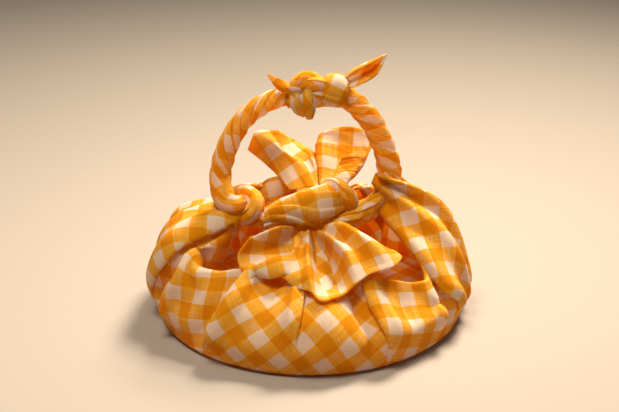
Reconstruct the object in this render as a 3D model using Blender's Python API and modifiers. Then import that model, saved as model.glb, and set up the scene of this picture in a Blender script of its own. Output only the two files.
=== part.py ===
"""Furoshiki wrap: one square cloth tied into a low round bag with a twisted handle.

The cloth's front and back corners are tied over the middle of the bag. The front one ends in a
fan that falls forward, the back one in two upright ears. The left and right corners are twisted
into ropes and tied to each other at the top, which makes the handle. Between the four corners
the cloth's edge hangs slack as four open mouths, and the bag is empty.

Axes: +X is the wrap's right, +Y its back and +Z up. The origin is on the table, under the middle.
All tables are in millimetres and are turned into metres when the meshes are made.
"""

import math

import bpy
import numpy as np

MM = 0.001

CLOTH = 1.2  # thickness of one layer, as built
BASE_RADIUS = 100.5  # where the wall leaves the table
BASE_ROUND = 3.0  # the small round between the base and the wall
BULGE_HEIGHT = 22.0  # where the wall is widest
MIDDLE = (0.5, 0.5)  # the base's centre
WALL_ROWS = 9  # rows from the base's edge to the brim
LINE_GAP = 4.5  # widest angle between two lines of the bag's cloth
END_GAP = 14.0  # widest distance between the ends of two lines
BASE_RINGS = (0.32, 0.68, 1.0)  # rings of the flat base, as shares of its radius
TURN_IN = ((0.45, 1.1), (1.0, 0.5))  # the brim's roll: share of its width, height
TURN_WIDTH = 4.5  # how far the rolled brim reaches inward
TUCK = 2.5  # how far an arm's end reaches on into its knot

ROPE_LOBES = 3  # twisted folds seen round a rope
ROPE_RELIEF = 0.11  # how deep the folds between them are, as a share of the radius
ROPE_PITCH = 42.0  # length in which a rope's folds turn once
END_CAP = 0.3  # how far a bundle's end bulges, as a share of its half height

# Where the wall and its four arms go. Each row is one line of the cloth, from the base up:
# its azimuth at the base, its azimuth and radius where the wall is widest, a point of its
# shoulder, its end, how far it lies out over its neighbours, and how much of it turns in.
STATIONS = (
    # name                         base bulge r      shoulder          end             over turn
    ("left arm, back edge",        149, 149, 103.0, (-78, 42, 52),    (-46, 12, 70),    0.0, 0.0),
    ("left arm, back",             163, 163, 105.0, (-88, 25, 58),    (-42, 6, 77),     0.0, 0.0),
    ("left arm, top",              176, 176, 106.0, (-90, 4, 62),     (-41, -1, 80),    1.0, 0.0),
    ("left arm, front",            186, 186, 105.5, (-87, -15, 60),   (-42, -8, 77),    0.0, 0.0),
    ("left arm, front fold",       191, 191, 105.5, (-85, -29, 54),   (-45, -15, 72),   2.6, 0.0),
    ("left side, under the fold",  195, 194, 103.5, (-83, -35, 49),   (-55, -23, 66),   0.0, 0.0),
    ("left side, back of mouth",   200, 199, 103.5, (-84, -41, 44),   (-70, -33, 60),   0.0, 0.0),
    ("left side, brim's corner",   206, 206, 103.5, (-83, -50, 40),   (-80, -43, 54.5), 0.0, 0.4),
    ("left side, brim",            213, 213, 103.0, (-78, -58, 38),   (-77, -54, 51),   0.6, 1.0),
    ("left side, brim's front",    220, 221, 102.5, (-66, -66, 38),   (-60, -58, 50),   0.0, 1.0),
    ("left side, by the panel",    225, 228, 100.5, (-56, -70, 40),   (-47, -59, 53),   0.0, 0.3),
    ("front panel, left fold",     228, 232, 101.5, (-50, -73, 42),   (-38, -60, 54.5), 2.2, 0.0),
    ("front panel, left hem",      234, 237, 101.5, (-43, -76, 43),   (-23, -43, 62),   1.0, 0.0),
    ("front panel, left",          242, 244, 102.0, (-35, -79, 43),   (-9, -26, 68),    0.4, 0.0),
    ("front panel, pleat's back",  262, 263, 101.0, (-8, -85, 42),    (-2, -28, 69),    0.0, 0.0),
    ("front panel, pleat",         266, 266, 103.0, (-3, -86, 43),    (1, -28, 69),     1.6, 0.0),
    ("front panel, right",         284, 283, 102.0, (20, -82, 40),    (10, -27, 68),    0.0, 0.0),
    ("front panel, right hem",     290, 290, 101.0, (27, -79, 38),    (19, -42, 62),    0.0, 0.0),
    ("front panel, right edge",    296, 295, 100.5, (34, -76, 36),    (27, -58, 54),    0.0, 0.0),
    ("right side, fold",           299, 298, 102.5, (39, -77, 35),    (34, -65, 48.5),  2.2, 0.2),
    ("right side, brim's front",   306, 306, 102.0, (51, -72, 34),    (43, -61, 48),    0.0, 1.0),
    ("right side, brim",           313, 313, 102.5, (62, -68, 32),    (54, -59, 45.5),  0.6, 1.0),
    ("right side, brim's dip",     320, 320, 103.0, (73, -61, 29),    (66, -56, 42),    0.0, 1.0),
    ("right side, brim's corner",  327, 327, 103.0, (81, -52, 27),    (77, -48, 41),    0.0, 0.4),
    ("right side, back of mouth",  332, 332, 103.0, (85, -45, 29),    (70, -37, 50),    0.0, 0.0),
    ("right side, under the fold", 337, 336, 103.0, (84, -42, 34),    (58, -22, 62),    0.0, 0.0),
    ("right arm, front fold",      341, 340, 104.5, (80, -40, 44),    (49, -9, 74),     2.6, 0.0),
    ("right arm, front",           348, 348, 105.0, (89, -21, 56),    (51, -5, 84),     0.0, 0.0),
    ("right arm, top",             359, 359, 105.0, (90, 2, 70),      (54, 0, 91),      1.2, 0.0),
    ("right arm, back",            373, 373, 105.0, (85, 24, 63),     (53, 5, 86),      0.0, 0.0),
    ("right arm, back edge",       389, 389, 103.0, (77, 43, 50),     (48, 10, 75),     0.0, 0.0),
    ("back right, brim's corner",  398, 398, 102.5, (71, 55, 44),     (61, 44, 59),     0.0, 1.0),
    ("back right, brim",           408, 408, 102.5, (60, 68, 44),     (54, 59, 59),     0.5, 1.0),
    ("back right, by the panel",   416, 415, 101.0, (49, 75, 46),     (43, 62, 61),     0.0, 0.4),
    ("back panel, right fold",     420, 419, 102.5, (44, 78, 49),     (35, 53, 64),     2.0, 0.0),
    ("back panel, right hem",      427, 426, 102.5, (36, 81, 51),     (23, 26, 71),     0.8, 0.0),
    ("back panel, right",          434, 434, 102.5, (27, 83, 52),     (11, -5, 76),     0.0, 0.0),
    ("back panel, middle",         450, 450, 103.0, (0, 86, 53),      (1, -7, 78),      1.5, 0.0),
    ("back panel, left",           466, 466, 102.5, (-27, 83, 52),    (-9, -5, 76),     0.0, 0.0),
    ("back panel, left hem",       473, 474, 102.5, (-36, 81, 51),    (-22, 26, 71),    0.8, 0.0),
    ("back panel, left fold",      480, 481, 102.5, (-44, 78, 49),    (-35, 53, 65),    2.0, 0.0),
    ("back left, by the panel",    484, 485, 101.0, (-50, 75, 47),    (-43, 61, 63),    0.0, 0.4),
    ("back left, brim",            492, 492, 102.5, (-62, 66, 46),    (-55, 57, 62),    0.5, 1.0),
    ("back left, brim's corner",   501, 501, 102.5, (-73, 53, 46),    (-62, 42, 62),    0.0, 1.0),
)

# The front fan: each row is one crease or crest, from the knot to the cloth's edge.
FRONT_FAN = (
    # name                 at the knot       halfway           at the edge
    ("left, rolled back", (-7, -25, 68.5), (-24, -38, 71),   (-37, -49, 71)),
    ("left lobe",         (-6, -27, 68),   (-27, -45, 64),   (-45, -58, 62)),
    ("left pocket",       (-4, -28, 67),   (-20, -49, 60),   (-33, -67, 56)),
    ("left crest",        (-2, -29, 69.5), (-8, -51, 67),    (-16, -73, 56)),
    ("left of the tip",   (0, -29, 68.5),  (1, -54, 63),     (-2, -82, 51)),
    ("tip",               (3, -29, 68),    (8, -56, 62),     (8, -88, 47.5)),
    ("centre hollow",     (6, -29, 68),    (20, -55, 61),    (26, -81, 49.5)),
    ("right crest",       (8, -28, 69.5),  (29, -49, 66),    (42, -69, 54.5)),
    ("right lobe",        (9, -27, 70),    (35, -42, 68),    (58, -54, 59)),
    ("right, back edge",  (9, -25, 70),    (28, -31, 71),    (44, -39, 65.5)),
)

# The two back ears and the cloth's tip that hangs behind them, in the same way.
BACK_EARS = (
    ("left ear, near edge",  (-9, -7, 81),  (-24, 10, 91),  (-40, 24, 99)),
    ("left ear, crest",      (-7, -8, 85),  (-22, 11, 100), (-34, 27, 112.5)),
    ("left ear, top",        (-4, -6, 86),  (-12, 17, 102), (-21, 33, 114.5)),
    ("left ear, far edge",   (-2, -4, 85),  (-4, 20, 96),   (-4, 37, 104)),
    ("tip behind",           (1, -3, 83),   (2, 25, 87),    (3, 50, 88)),
    ("right ear, far edge",  (4, -4, 85),   (7, 20, 97),    (8, 37, 107)),
    ("right ear, top",       (6, -6, 86),   (12, 17, 103),  (19, 33, 116)),
    ("right ear, crest",     (9, -8, 85),   (22, 10, 100),  (38, 26, 113)),
    ("right ear, near edge", (11, -7, 81),  (25, 6, 90),    (38, 18, 101)),
)

# Bundles of cloth: each row is a point of the bundle's middle, half its height and half its depth.
LEFT_ROPE = (
    ((-40, -6, 74), 10.0, 9.0),
    ((-50, -9, 79), 9.0, 8.5),
    ((-57, -7, 88), 7.8, 7.5),
    ((-57.5, -4, 98), 7.2, 7.2),
    ((-54, -2, 111), 6.8, 6.8),
    ((-48, -1, 124), 6.6, 6.6),
    ((-40, 0, 135), 6.4, 6.4),
    ((-29, 0, 143), 6.2, 6.2),
    ((-16, 0, 149), 6.2, 6.2),
    ((-2, 0, 151), 6.5, 6.5),
)
RIGHT_ROPE = (
    ((44, -2, 72), 9.0, 9.0),
    ((50, 0, 82), 10.0, 10.0),
    ((52.5, 0, 92), 9.0, 9.0),
    ((51, 0, 102), 7.6, 7.6),
    ((48.5, 0, 111), 7.0, 7.0),
    ((45, 0, 121), 7.0, 7.0),
    ((39.5, 0, 131.5), 7.0, 7.0),
    ((31, 0, 141.5), 7.0, 7.0),
    ((21, 0, 149), 7.0, 7.0),
    ((10, 0, 152), 7.0, 7.0),
)
CENTRE_KNOT = (
    ((-31, -17, 71), 7.0, 6.0),
    ((-24, -19, 75), 12.0, 9.5),
    ((-11, -19, 78), 14.5, 12.5),
    ((3, -17, 79), 15.5, 14.0),
    ((17, -14, 81), 14.5, 13.0),
    ((28, -10, 84), 11.5, 10.5),
    ((35, -7, 85), 6.0, 6.0),
)
UNDER_KNOT = (
    ((-42, -8, 73), 9.0, 8.0),
    ((-25, -10, 72), 8.0, 9.0),
    ((0, -12, 72), 8.0, 11.0),
    ((20, -14, 71), 7.5, 9.0),
    ((34, -11, 72), 6.5, 7.0),
    ((46, -5, 76), 5.5, 6.0),
)
TOP_KNOT_BAND = (
    ((11, 2, 142), 6.5, 5.0),
    ((14, -6, 143), 8.5, 5.5),
    ((17, -8, 152), 9.0, 5.5),
    ((17, -4, 160), 8.5, 5.5),
    ((16, 5, 160), 7.5, 5.0),
    ((13, 9, 151), 7.5, 5.0),
    ((10, 6, 143), 6.0, 4.5),
)
TOP_KNOT_LOOP = (
    ((10, -2, 154), 6.0, 6.0),
    ((2, -5, 160), 6.0, 6.5),
    ((-7, -5, 157), 6.5, 6.5),
    ((-10, -4, 149), 6.5, 6.5),
    ((-4, -6, 141), 6.0, 6.0),
    ((-1, -6, 137), 3.5, 4.0),
)
LEFT_TAIL = (
    ((0, -7, 156), 3.0, 4.5),
    ((-8, -8, 155.5), 2.6, 4.5),
    ((-17, -8, 158), 3.4, 3.0),
    ((-23, -7, 162), 2.6, 2.0),
    ((-26.5, -6, 165), 1.2, 1.2),
)
RIGHT_TAIL = (
    ((17, -1, 158), 3.0, 3.0),
    ((24, -1, 162), 4.4, 2.6),
    ((32, -1, 166), 5.2, 2.2),
    ((41, -1, 171.5), 3.6, 1.8),
    ((48.5, -1, 177), 1.0, 1.0),
)

YELLOW = (0.86, 0.47, 0.05)


def smooth(knots, values, at, around=False):
    """Values read at new places on a curve that never swings past its neighbouring knots."""
    knots, values, at = np.asarray(knots, float), np.asarray(values, float), np.asarray(at, float)
    if around:
        knots = np.concatenate([knots[-1:] - 360, knots, knots[:2] + 360])
        values = np.concatenate([values[-1:], values, values[:2]])
    step = np.diff(knots)[:, None]
    slope = np.diff(values, axis=0) / step
    before, after = slope[:-1], slope[1:]
    w1, w2 = 2 * step[1:] + step[:-1], step[1:] + 2 * step[:-1]
    with np.errstate(divide="ignore", invalid="ignore"):
        mean = (w1 + w2) / (w1 / before + w2 / after)
    inner = np.where(before * after > 0, mean, 0.0)
    tangent = np.concatenate([slope[:1], inner, slope[-1:]])
    i = np.clip(np.searchsorted(knots, at, side="right") - 1, 0, len(knots) - 2)
    h = step[i]
    t = ((at - knots[i]) / h[:, 0])[:, None]
    t2, t3 = t * t, t * t * t
    return (
        values[i] * (2 * t3 - 3 * t2 + 1)
        + tangent[i] * h * (t3 - 2 * t2 + t)
        + values[i + 1] * (3 * t2 - 2 * t3)
        + tangent[i + 1] * h * (t3 - t2)
    )


def flowing(points, count):
    """count points on a curve through the given ones, which bends evenly at each of them."""
    points = np.asarray(points, float)
    ends = np.concatenate(
        [2 * points[:1] - points[1:2], points, 2 * points[-1:] - points[-2:-1]]
    )
    place = np.linspace(0, len(points) - 1, count)
    i = np.minimum(place.astype(int), len(points) - 2)
    t = (place - i)[:, None]
    a, b, c, d = ends[i], ends[i + 1], ends[i + 2], ends[i + 3]
    return 0.5 * (
        2 * b + (c - a) * t + (2 * a - 5 * b + 4 * c - d) * t**2 + (3 * b - a - 3 * c + d) * t**3
    )


def polar(degrees, radius):
    """Points at these azimuths and distances from the base's centre."""
    angle = np.radians(degrees)
    return np.stack(
        [MIDDLE[0] + radius * np.cos(angle), MIDDLE[1] + radius * np.sin(angle)], axis=-1
    )


def station_columns():
    """Azimuths of the bag's lines: every station, and lines between two that lie far apart."""
    columns = []
    for here, there in zip(STATIONS, STATIONS[1:] + STATIONS[:1]):
        gap = (there[1] - here[1]) % 360
        parts = max(1, round(gap / LINE_GAP), round(math.dist(here[5], there[5]) / END_GAP))
        columns += [here[1] + gap * k / parts for k in range(parts)]
    return np.array(columns)


def bag_rows():
    """The bag's cloth as rows of points, from the middle of its base out and up to its brim."""
    base = np.array([row[1] for row in STATIONS], float)
    data = np.array([[row[2] - row[1], row[3], *row[4], *row[5], row[6], row[7]] for row in STATIONS])
    columns = station_columns()
    read = smooth(base, data, columns, around=True)
    drift, bulge, over, turn = read[:, 0], read[:, 1], read[:, 8], read[:, 9]
    rows = []
    for share in BASE_RINGS:
        ring = polar(columns, share * (BASE_RADIUS - BASE_ROUND))
        rows.append(np.column_stack([ring, np.zeros(len(columns))]))
    foot = polar(columns, BASE_RADIUS)
    widest = polar(columns + drift, bulge + over)
    out = polar(columns, 1.0) - np.array(MIDDLE)
    shoulder, end = read[:, 2:5].copy(), read[:, 5:8]
    shoulder[:, :2] += out * over[:, None]
    guides = np.stack(
        [
            np.column_stack([foot, np.full(len(columns), BASE_ROUND)]),
            np.column_stack([widest, np.full(len(columns), BULGE_HEIGHT)]),
            shoulder,
            end,
        ]
    )
    wall = flow_columns(guides, WALL_ROWS)
    rows += list(wall)
    ahead = end - wall[-2]
    inward = ahead * (1, 1, 0)
    ahead /= np.linalg.norm(ahead, axis=1)[:, None]
    inward /= np.linalg.norm(inward, axis=1)[:, None]
    turn = turn[:, None]
    for share, up in TURN_IN:
        rolled = inward * share * TURN_WIDTH + np.array([0, 0, up])
        rows.append(end + rolled * turn + ahead * share * TUCK * (1 - turn))
    return rows


def flow_columns(guides, count):
    """Rows of points on an even curve through each column of the guides."""
    flat = guides.reshape(len(guides), -1)
    return flowing(flat, count).reshape(count, *guides.shape[1:])


def new_object(name, points, faces, material):
    """A mesh object in metres from points in millimetres."""
    mesh = bpy.data.meshes.new(name)
    mesh.from_pydata((np.asarray(points, float) * MM).tolist(), [], faces)
    mesh.validate()
    mesh.shade_smooth()
    mesh.materials.append(material)
    return bpy.data.objects.new(name, mesh)


def grid_faces(rows, columns, start=0, closed=False):
    """Quads between neighbouring rows and columns, each row starting columns after the last."""
    last = columns if closed else columns - 1
    faces = []
    for r in range(rows - 1):
        for c in range(last):
            a, b = start + r * columns + c, start + r * columns + (c + 1) % columns
            faces.append((a, b, b + columns, a + columns))
    return faces


def thicken(made):
    """Gives a sheet its thickness, inward from the side that shows."""
    wall = made.modifiers.new("cloth thickness", "SOLIDIFY")
    wall.thickness = CLOTH * MM
    wall.offset = -1
    wall.use_even_offset = False
    return made


def bag(material):
    """The base, the wall, the four arms and the rolled brims: one sheet."""
    rows = bag_rows()
    columns = len(rows[0])
    points = np.concatenate([[(*MIDDLE, 0.0)], *rows])
    faces = [(0, 1 + (c + 1) % columns, 1 + c) for c in range(columns)]
    faces += grid_faces(len(rows), columns, start=1, closed=True)
    return thicken(new_object("furoshiki_cloth", points, faces, material))


def fan(name, table, across, along, material):
    """A gathered end of the cloth: its creases are the table's rows, and it opens from the knot."""
    guides = np.array([[row[1], row[2], row[3]] for row in table], float)
    lines = flowing(guides.reshape(len(guides), -1), across).reshape(across, 3, 3)
    rows = flow_columns(lines.transpose(1, 0, 2), along)
    points = rows.reshape(-1, 3)
    faces = [face[::-1] for face in grid_faces(along, across)]
    return thicken(new_object(name, points, faces, material))


def bundle(name, table, rings, sides, lobes, material):
    """Gathered cloth as one closed body: an oval carried along a path, with folds turning round it.

    The oval is up(angle) = half height times cosine and over(angle) = half depth times sine.
    """
    guides = np.array([[*row[0], row[1], row[2]] for row in table], float)
    read = flowing(guides, rings)
    path, high, deep = read[:, :3], read[:, 3], read[:, 4]
    ahead = np.gradient(path, axis=0)
    length = np.concatenate([[0], np.cumsum(np.linalg.norm(np.diff(path, axis=0), axis=1))])
    ahead /= np.linalg.norm(ahead, axis=1)[:, None]
    back = np.cross(ahead, (0.0, 1.0, 0.0))
    back /= np.linalg.norm(back, axis=1)[:, None]
    side = np.cross(back, ahead)
    angle = np.arange(sides) / sides * 2 * math.pi
    turn = length[:, None] / ROPE_PITCH * 2 * math.pi
    fold = np.abs(np.sin(lobes * (angle[None] - turn) / 2))
    relief = 1 - ROPE_RELIEF * fold
    up = (np.cos(angle)[None] * high[:, None] * relief)[..., None] * back[:, None]
    over = (np.sin(angle)[None] * deep[:, None] * relief)[..., None] * side[:, None]
    points = (path[:, None] + up + over).reshape(-1, 3)
    start, end = len(points), len(points) + 1
    first_tip = path[0] - ahead[0] * high[0] * END_CAP
    last_tip = path[-1] + ahead[-1] * high[-1] * END_CAP
    points = np.concatenate([points, [first_tip, last_tip]])
    faces = grid_faces(rings, sides, closed=True)
    faces += [(start, (k + 1) % sides, k) for k in range(sides)]
    last_ring = (rings - 1) * sides
    faces += [(end, last_ring + k, last_ring + (k + 1) % sides) for k in range(sides)]
    return new_object(name, points, faces, material)


def facing_out(made):
    """Turns a closed body right side out if it isn't."""
    mesh = made.data
    points = np.array([v.co[:] for v in mesh.vertices])
    mesh.calc_loop_triangles()
    corners = points[np.array([t.vertices[:] for t in mesh.loop_triangles])]
    volume = np.einsum("ij,ij->i", corners[:, 0], np.cross(corners[:, 1], corners[:, 2])).sum()
    if volume < 0:
        mesh.flip_normals()
    return made


def tied_to(cloth, piece, guides):
    """Makes a piece of the same cloth one body with it."""
    guides.objects.link(piece)
    piece.hide_render = True
    piece.display_type = "WIRE"
    join = cloth.modifiers.new(piece.name, "BOOLEAN")
    join.operation = "UNION"
    join.solver = "MANIFOLD"
    join.object = piece


def cotton(name, colour):
    """A woven cloth's plain material."""
    material = bpy.data.materials.new(name)
    material.use_nodes = True
    shader = material.node_tree.nodes["Principled BSDF"]
    shader.inputs["Base Color"].default_value = (*colour, 1)
    shader.inputs["Roughness"].default_value = 0.85
    shader.inputs["Metallic"].default_value = 0.0
    return material


def main():
    for old in list(bpy.data.objects):
        bpy.data.objects.remove(old, do_unlink=True)
    wrap = bpy.data.collections.new("furoshiki_wrap")
    guides = bpy.data.collections.new("furoshiki_guides")
    for collection in (wrap, guides):
        bpy.context.scene.collection.children.link(collection)
    material = cotton("yellow_checked_cloth", YELLOW)
    cloth = bag(material)
    wrap.objects.link(cloth)
    bundles = (
        ("under_knot", UNDER_KNOT, 14, 12, 0),
        ("centre_knot", CENTRE_KNOT, 13, 16, 0),
        ("left_rope", LEFT_ROPE, 30, 12, ROPE_LOBES),
        ("right_rope", RIGHT_ROPE, 26, 12, ROPE_LOBES),
        ("top_knot_band", TOP_KNOT_BAND, 13, 10, 0),
        ("top_knot_loop", TOP_KNOT_LOOP, 12, 10, 0),
        ("left_tail", LEFT_TAIL, 9, 8, 0),
        ("right_tail", RIGHT_TAIL, 9, 8, 0),
    )
    for name, table, rings, sides, lobes in bundles:
        tied_to(cloth, facing_out(bundle(name, table, rings, sides, lobes, material)), guides)
    tied_to(cloth, fan("front_fan", FRONT_FAN, 28, 9, material), guides)
    tied_to(cloth, fan("back_ears", BACK_EARS, 25, 8, material), guides)


main()
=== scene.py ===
# %% [markdown]
# # A furoshiki wrap in checked cotton and linen
#
# A furoshiki is one square of cloth. Its front and back corners are tied over the middle, its
# left and right corners are twisted into ropes and tied at the top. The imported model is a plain
# solid of that shape. This lesson dresses it: each stretch of the cloth becomes a thin sheet with
# its own folds, and every point knows where it lies on the flat cloth, so that one woven check
# runs over all of them. All tables are in millimetres, and meshes are made in metres.

import math
from collections import namedtuple

import bpy
import numpy as np
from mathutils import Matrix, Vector


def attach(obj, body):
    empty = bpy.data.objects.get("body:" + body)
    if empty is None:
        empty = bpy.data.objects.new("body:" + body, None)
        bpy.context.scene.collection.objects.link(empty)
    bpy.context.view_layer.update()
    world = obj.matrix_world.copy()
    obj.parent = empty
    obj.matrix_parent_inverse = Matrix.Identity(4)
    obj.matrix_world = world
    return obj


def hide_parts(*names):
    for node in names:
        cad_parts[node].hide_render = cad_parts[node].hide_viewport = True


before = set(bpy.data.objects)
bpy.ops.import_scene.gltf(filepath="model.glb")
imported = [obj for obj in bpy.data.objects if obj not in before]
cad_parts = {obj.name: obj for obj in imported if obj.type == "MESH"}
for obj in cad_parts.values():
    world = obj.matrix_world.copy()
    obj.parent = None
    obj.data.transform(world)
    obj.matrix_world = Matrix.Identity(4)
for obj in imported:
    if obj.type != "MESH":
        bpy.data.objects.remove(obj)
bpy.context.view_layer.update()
MM = 0.001
CLOTH_THICKNESS = 0.6
HEM = 2.2  # thickness of a sewn hem, in layers


# %% [markdown]
# ## Curves and surfaces
#
# Cloth flows, so every table below holds only a few points, and two curves fill in the rest.
# One never swings past its knots, which suits sizes read round the bag. The other bends evenly
# through its points, which suits creases and ropes.

# %% Curves through a table's points
def smooth_round(knots, values, at):
    """Cubic pieces round the circle whose slope at a knot is the harmonic mean of both sides."""
    knots = np.concatenate([knots[-1:] - 360, knots, knots[:2] + 360])
    values = np.concatenate([values[-1:], values, values[:2]])
    step = np.diff(knots)[:, None]
    slope = np.diff(values, axis=0) / step
    before, after = slope[:-1], slope[1:]
    w1, w2 = 2 * step[1:] + step[:-1], step[1:] + 2 * step[:-1]
    with np.errstate(divide="ignore", invalid="ignore"):
        mean = (w1 + w2) / (w1 / before + w2 / after)
    inner = np.where(before * after > 0, mean, 0.0)
    tangent = np.concatenate([slope[:1], inner, slope[-1:]])
    i = np.clip(np.searchsorted(knots, at, side="right") - 1, 0, len(knots) - 2)
    h = step[i]
    t = ((at - knots[i]) / h[:, 0])[:, None]
    t2, t3 = t * t, t * t * t
    return (
        values[i] * (2 * t3 - 3 * t2 + 1)
        + tangent[i] * h * (t3 - 2 * t2 + t)
        + values[i + 1] * (3 * t2 - 2 * t3)
        + tangent[i + 1] * h * (t3 - t2)
    )


def flowing(points, count):
    """Catmull-Rom: each stretch is a cubic whose slope at a point joins its two neighbours."""
    points = np.asarray(points, float)
    ends = np.concatenate([2 * points[:1] - points[1:2], points, 2 * points[-1:] - points[-2:-1]])
    place = np.linspace(0, len(points) - 1, count)
    i = np.minimum(place.astype(int), len(points) - 2)
    t = (place - i).reshape(-1, *[1] * (points.ndim - 1))
    a, b, c, d = ends[i], ends[i + 1], ends[i + 2], ends[i + 3]
    bend = (2 * a - 5 * b + 4 * c - d) * t**2 + (3 * b - a - 3 * c + d) * t**3
    return 0.5 * (2 * b + (c - a) * t + bend)


def rotated(flat, angle):
    """Places in the plane turned by an angle: x cos - y sin and x sin + y cos."""
    x, y = flat[..., 0], flat[..., 1]
    c, s = math.cos(angle), math.sin(angle)
    return np.stack([x * c - y * s, x * s + y * c], axis=-1)


def ease(low, high, x):
    """0 below low, 1 above high, and 3x^2 - 2x^3 between them."""
    x = np.clip((x - low) / (high - low), 0, 1)
    return x * x * (3 - 2 * x)


def hill(x, width):
    """A soft bump 1 high at 0 that falls as exp(-(x / width)^2)."""
    return np.exp(-((x / width) ** 2))


def unit(v):
    """Vectors of length 1 along the last axis."""
    return v / np.maximum(np.linalg.norm(v, axis=-1, keepdims=True), 1e-9)


# %% [markdown]
# Lengths walked over a surface are needed to lay cloth on it, and normals to raise folds from it.
# Soft cloth is never quite even. A Noise texture could roughen it in the material alone, but these
# waves should show in the outline too, so they move the points.

# %% Lengths, normals and unevenness
def walked(points, axis):
    """Distance walked along the rows (axis 1) or columns (axis 0) of a grid of points."""
    steps = np.linalg.norm(np.diff(points, axis=axis), axis=-1)
    start = np.zeros_like(np.take(steps, [0], axis=axis))
    return np.concatenate([start, np.cumsum(steps, axis=axis)], axis=axis)


def facing(points):
    """Unit normals of a grid: the direction along its rows crossed with the one up its columns."""
    return unit(np.cross(np.gradient(points, axis=1), np.gradient(points, axis=0)))


def uneven(a, b, seed):
    """Soft waves between -1 and 1 at a and b: random heights on whole numbers, eased between."""
    heights = np.random.RandomState(seed).uniform(-1, 1, (64, 64))
    i, j = np.floor(a).astype(int), np.floor(b).astype(int)
    u, v = ease(0, 1, a - i), ease(0, 1, b - j)
    low = heights[i % 64, j % 64] * (1 - u) + heights[(i + 1) % 64, j % 64] * u
    high = heights[i % 64, (j + 1) % 64] * (1 - u) + heights[(i + 1) % 64, (j + 1) % 64] * u
    return low * (1 - v) + high * v


# %% [markdown]
# Woven cloth hardly stretches. So wherever a grid fans out from a knot, its places on the flat
# cloth are found by pushing neighbours apart or together until they are as far from each other as
# they are on the shaped sheet. Coarse grids come first, because they settle in few rounds.

# %% Laying a sheet flat
EDGES = ((0, 1, 1.0), (1, 0, 1.0), (1, 1, 0.5), (1, -1, 0.5))  # row step, column step, weight
ROUNDS = ((8, 500), (3, 150), (1, 30))  # every how many points, how many rounds
PUSH = 1.6  # each round goes this much further than the mean asks, so that it settles sooner


def settled(points, flat, rounds):
    """Each round moves both ends of an edge by half of (1 - wanted / present length) times it."""
    for _ in range(rounds):
        move = np.zeros_like(flat)
        total = np.zeros(flat.shape[:2])[..., None]
        for down, over, weight in EDGES:
            rows, columns = flat.shape[:2]
            a = (slice(0, rows - down), slice(max(0, -over), columns - max(0, over)))
            b = (slice(down, rows), slice(max(0, over), columns + min(0, over)))
            gap = flat[b] - flat[a]
            wanted = np.linalg.norm(points[b] - points[a], axis=-1, keepdims=True)
            present = np.maximum(np.linalg.norm(gap, axis=-1, keepdims=True), 1e-6)
            shift = 0.5 * weight * (1 - wanted / present) * gap
            move[a] += shift
            move[b] -= shift
            total[a] += weight
            total[b] += weight
        flat = flat + PUSH * move / total
    return flat


def widened(values, marks, count, axis):
    """Values at these marks along one axis, read at every whole number below count."""
    at = np.arange(count)
    i = np.clip(np.searchsorted(marks, at, side="right") - 1, 0, len(marks) - 2)
    part = (at - marks[i]) / (marks[i + 1] - marks[i])
    part = part[:, None, None] if axis == 0 else part[None, :, None]
    return np.take(values, i, axis) * (1 - part) + np.take(values, i + 1, axis) * part


def laid_flat(points, flat):
    """Settles every eighth point of the grid, then every third, then all of them."""
    for step, rounds in ROUNDS:
        marks = [np.unique(np.append(np.arange(0, n, step), n - 1)) for n in flat.shape[:2]]
        pick = np.ix_(*marks)
        change = settled(points[pick], flat[pick], rounds) - flat[pick]
        change = widened(change, marks[0], flat.shape[0], 0)
        flat = flat + widened(change, marks[1], flat.shape[1], 1)
    return flat


def aligned(flat, to):
    """Turned and moved as one piece to lie as near as it can to another lie of the same grid."""
    centre = to.mean(axis=(0, 1))
    a, b = flat - flat.mean(axis=(0, 1)), to - centre
    turn = math.atan2((a[..., 0] * b[..., 1] - a[..., 1] * b[..., 0]).sum(), (a * b).sum())
    return rotated(a, turn) + centre


# %% [markdown]
# ## From a grid to a piece of cloth
#
# A sheet is a grid of points, and a second grid says where each of them lies on the flat cloth.
# The second one goes into the UV map in metres, so a thread keeps its real width everywhere.
# A closed grid has one more column of cloth places than of points, because the cloth that
# comes round to its first column is another part of the cloth.

# %% Meshes from grids
def cloth_piece(name, points, cloth, material, round_closed=False, ends=(None, None), turned=False):
    """Quads between neighbouring rows and columns; ends are points that close the grid's ends."""
    rows, columns = points.shape[:2]
    steps = columns if round_closed else columns - 1
    r, c = [x.ravel() for x in np.meshgrid(np.arange(rows - 1), np.arange(steps), indexing="ij")]
    right = (c + 1) % columns
    low, high = r * columns, (r + 1) * columns
    faces = np.stack([low + c, low + right, high + right, high + c], axis=-1).tolist()
    places = np.stack([cloth[r, c], cloth[r, c + 1], cloth[r + 1, c + 1], cloth[r + 1, c]], axis=1)
    places = list(places.reshape(-1, 2))
    vertices = [points.reshape(-1, 3)]
    c = np.arange(steps)
    for row, tip, order in ((0, ends[0], (1, 0)), (rows - 1, ends[1], (0, 1))):
        if tip is None:
            continue
        index = rows * columns + len(vertices) - 1
        vertices.append(np.array([tip], float))
        rim = (row * columns + c, row * columns + (c + 1) % columns)
        lie = (cloth[row, c], cloth[row, c + 1])
        one, other = order
        faces += np.stack([rim[one], rim[other], np.full(steps, index)], axis=-1).tolist()
        middle = np.tile(cloth[row].mean(axis=0), (steps, 1))
        places += list(np.stack([lie[one], lie[other], middle], axis=1).reshape(-1, 2))
    mesh = bpy.data.meshes.new(name)
    mesh.from_pydata((np.concatenate(vertices) * MM).tolist(), [], faces)
    where = mesh.uv_layers.new(name="flat_cloth")
    where.data.foreach_set("uv", (np.array(places) * MM).astype(np.float32).ravel())
    if turned:
        mesh.flip_normals()
    mesh.shade_smooth()
    mesh.materials.append(material)
    piece = bpy.data.objects.new(name, mesh)
    bpy.context.scene.collection.objects.link(piece)
    return piece


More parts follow.
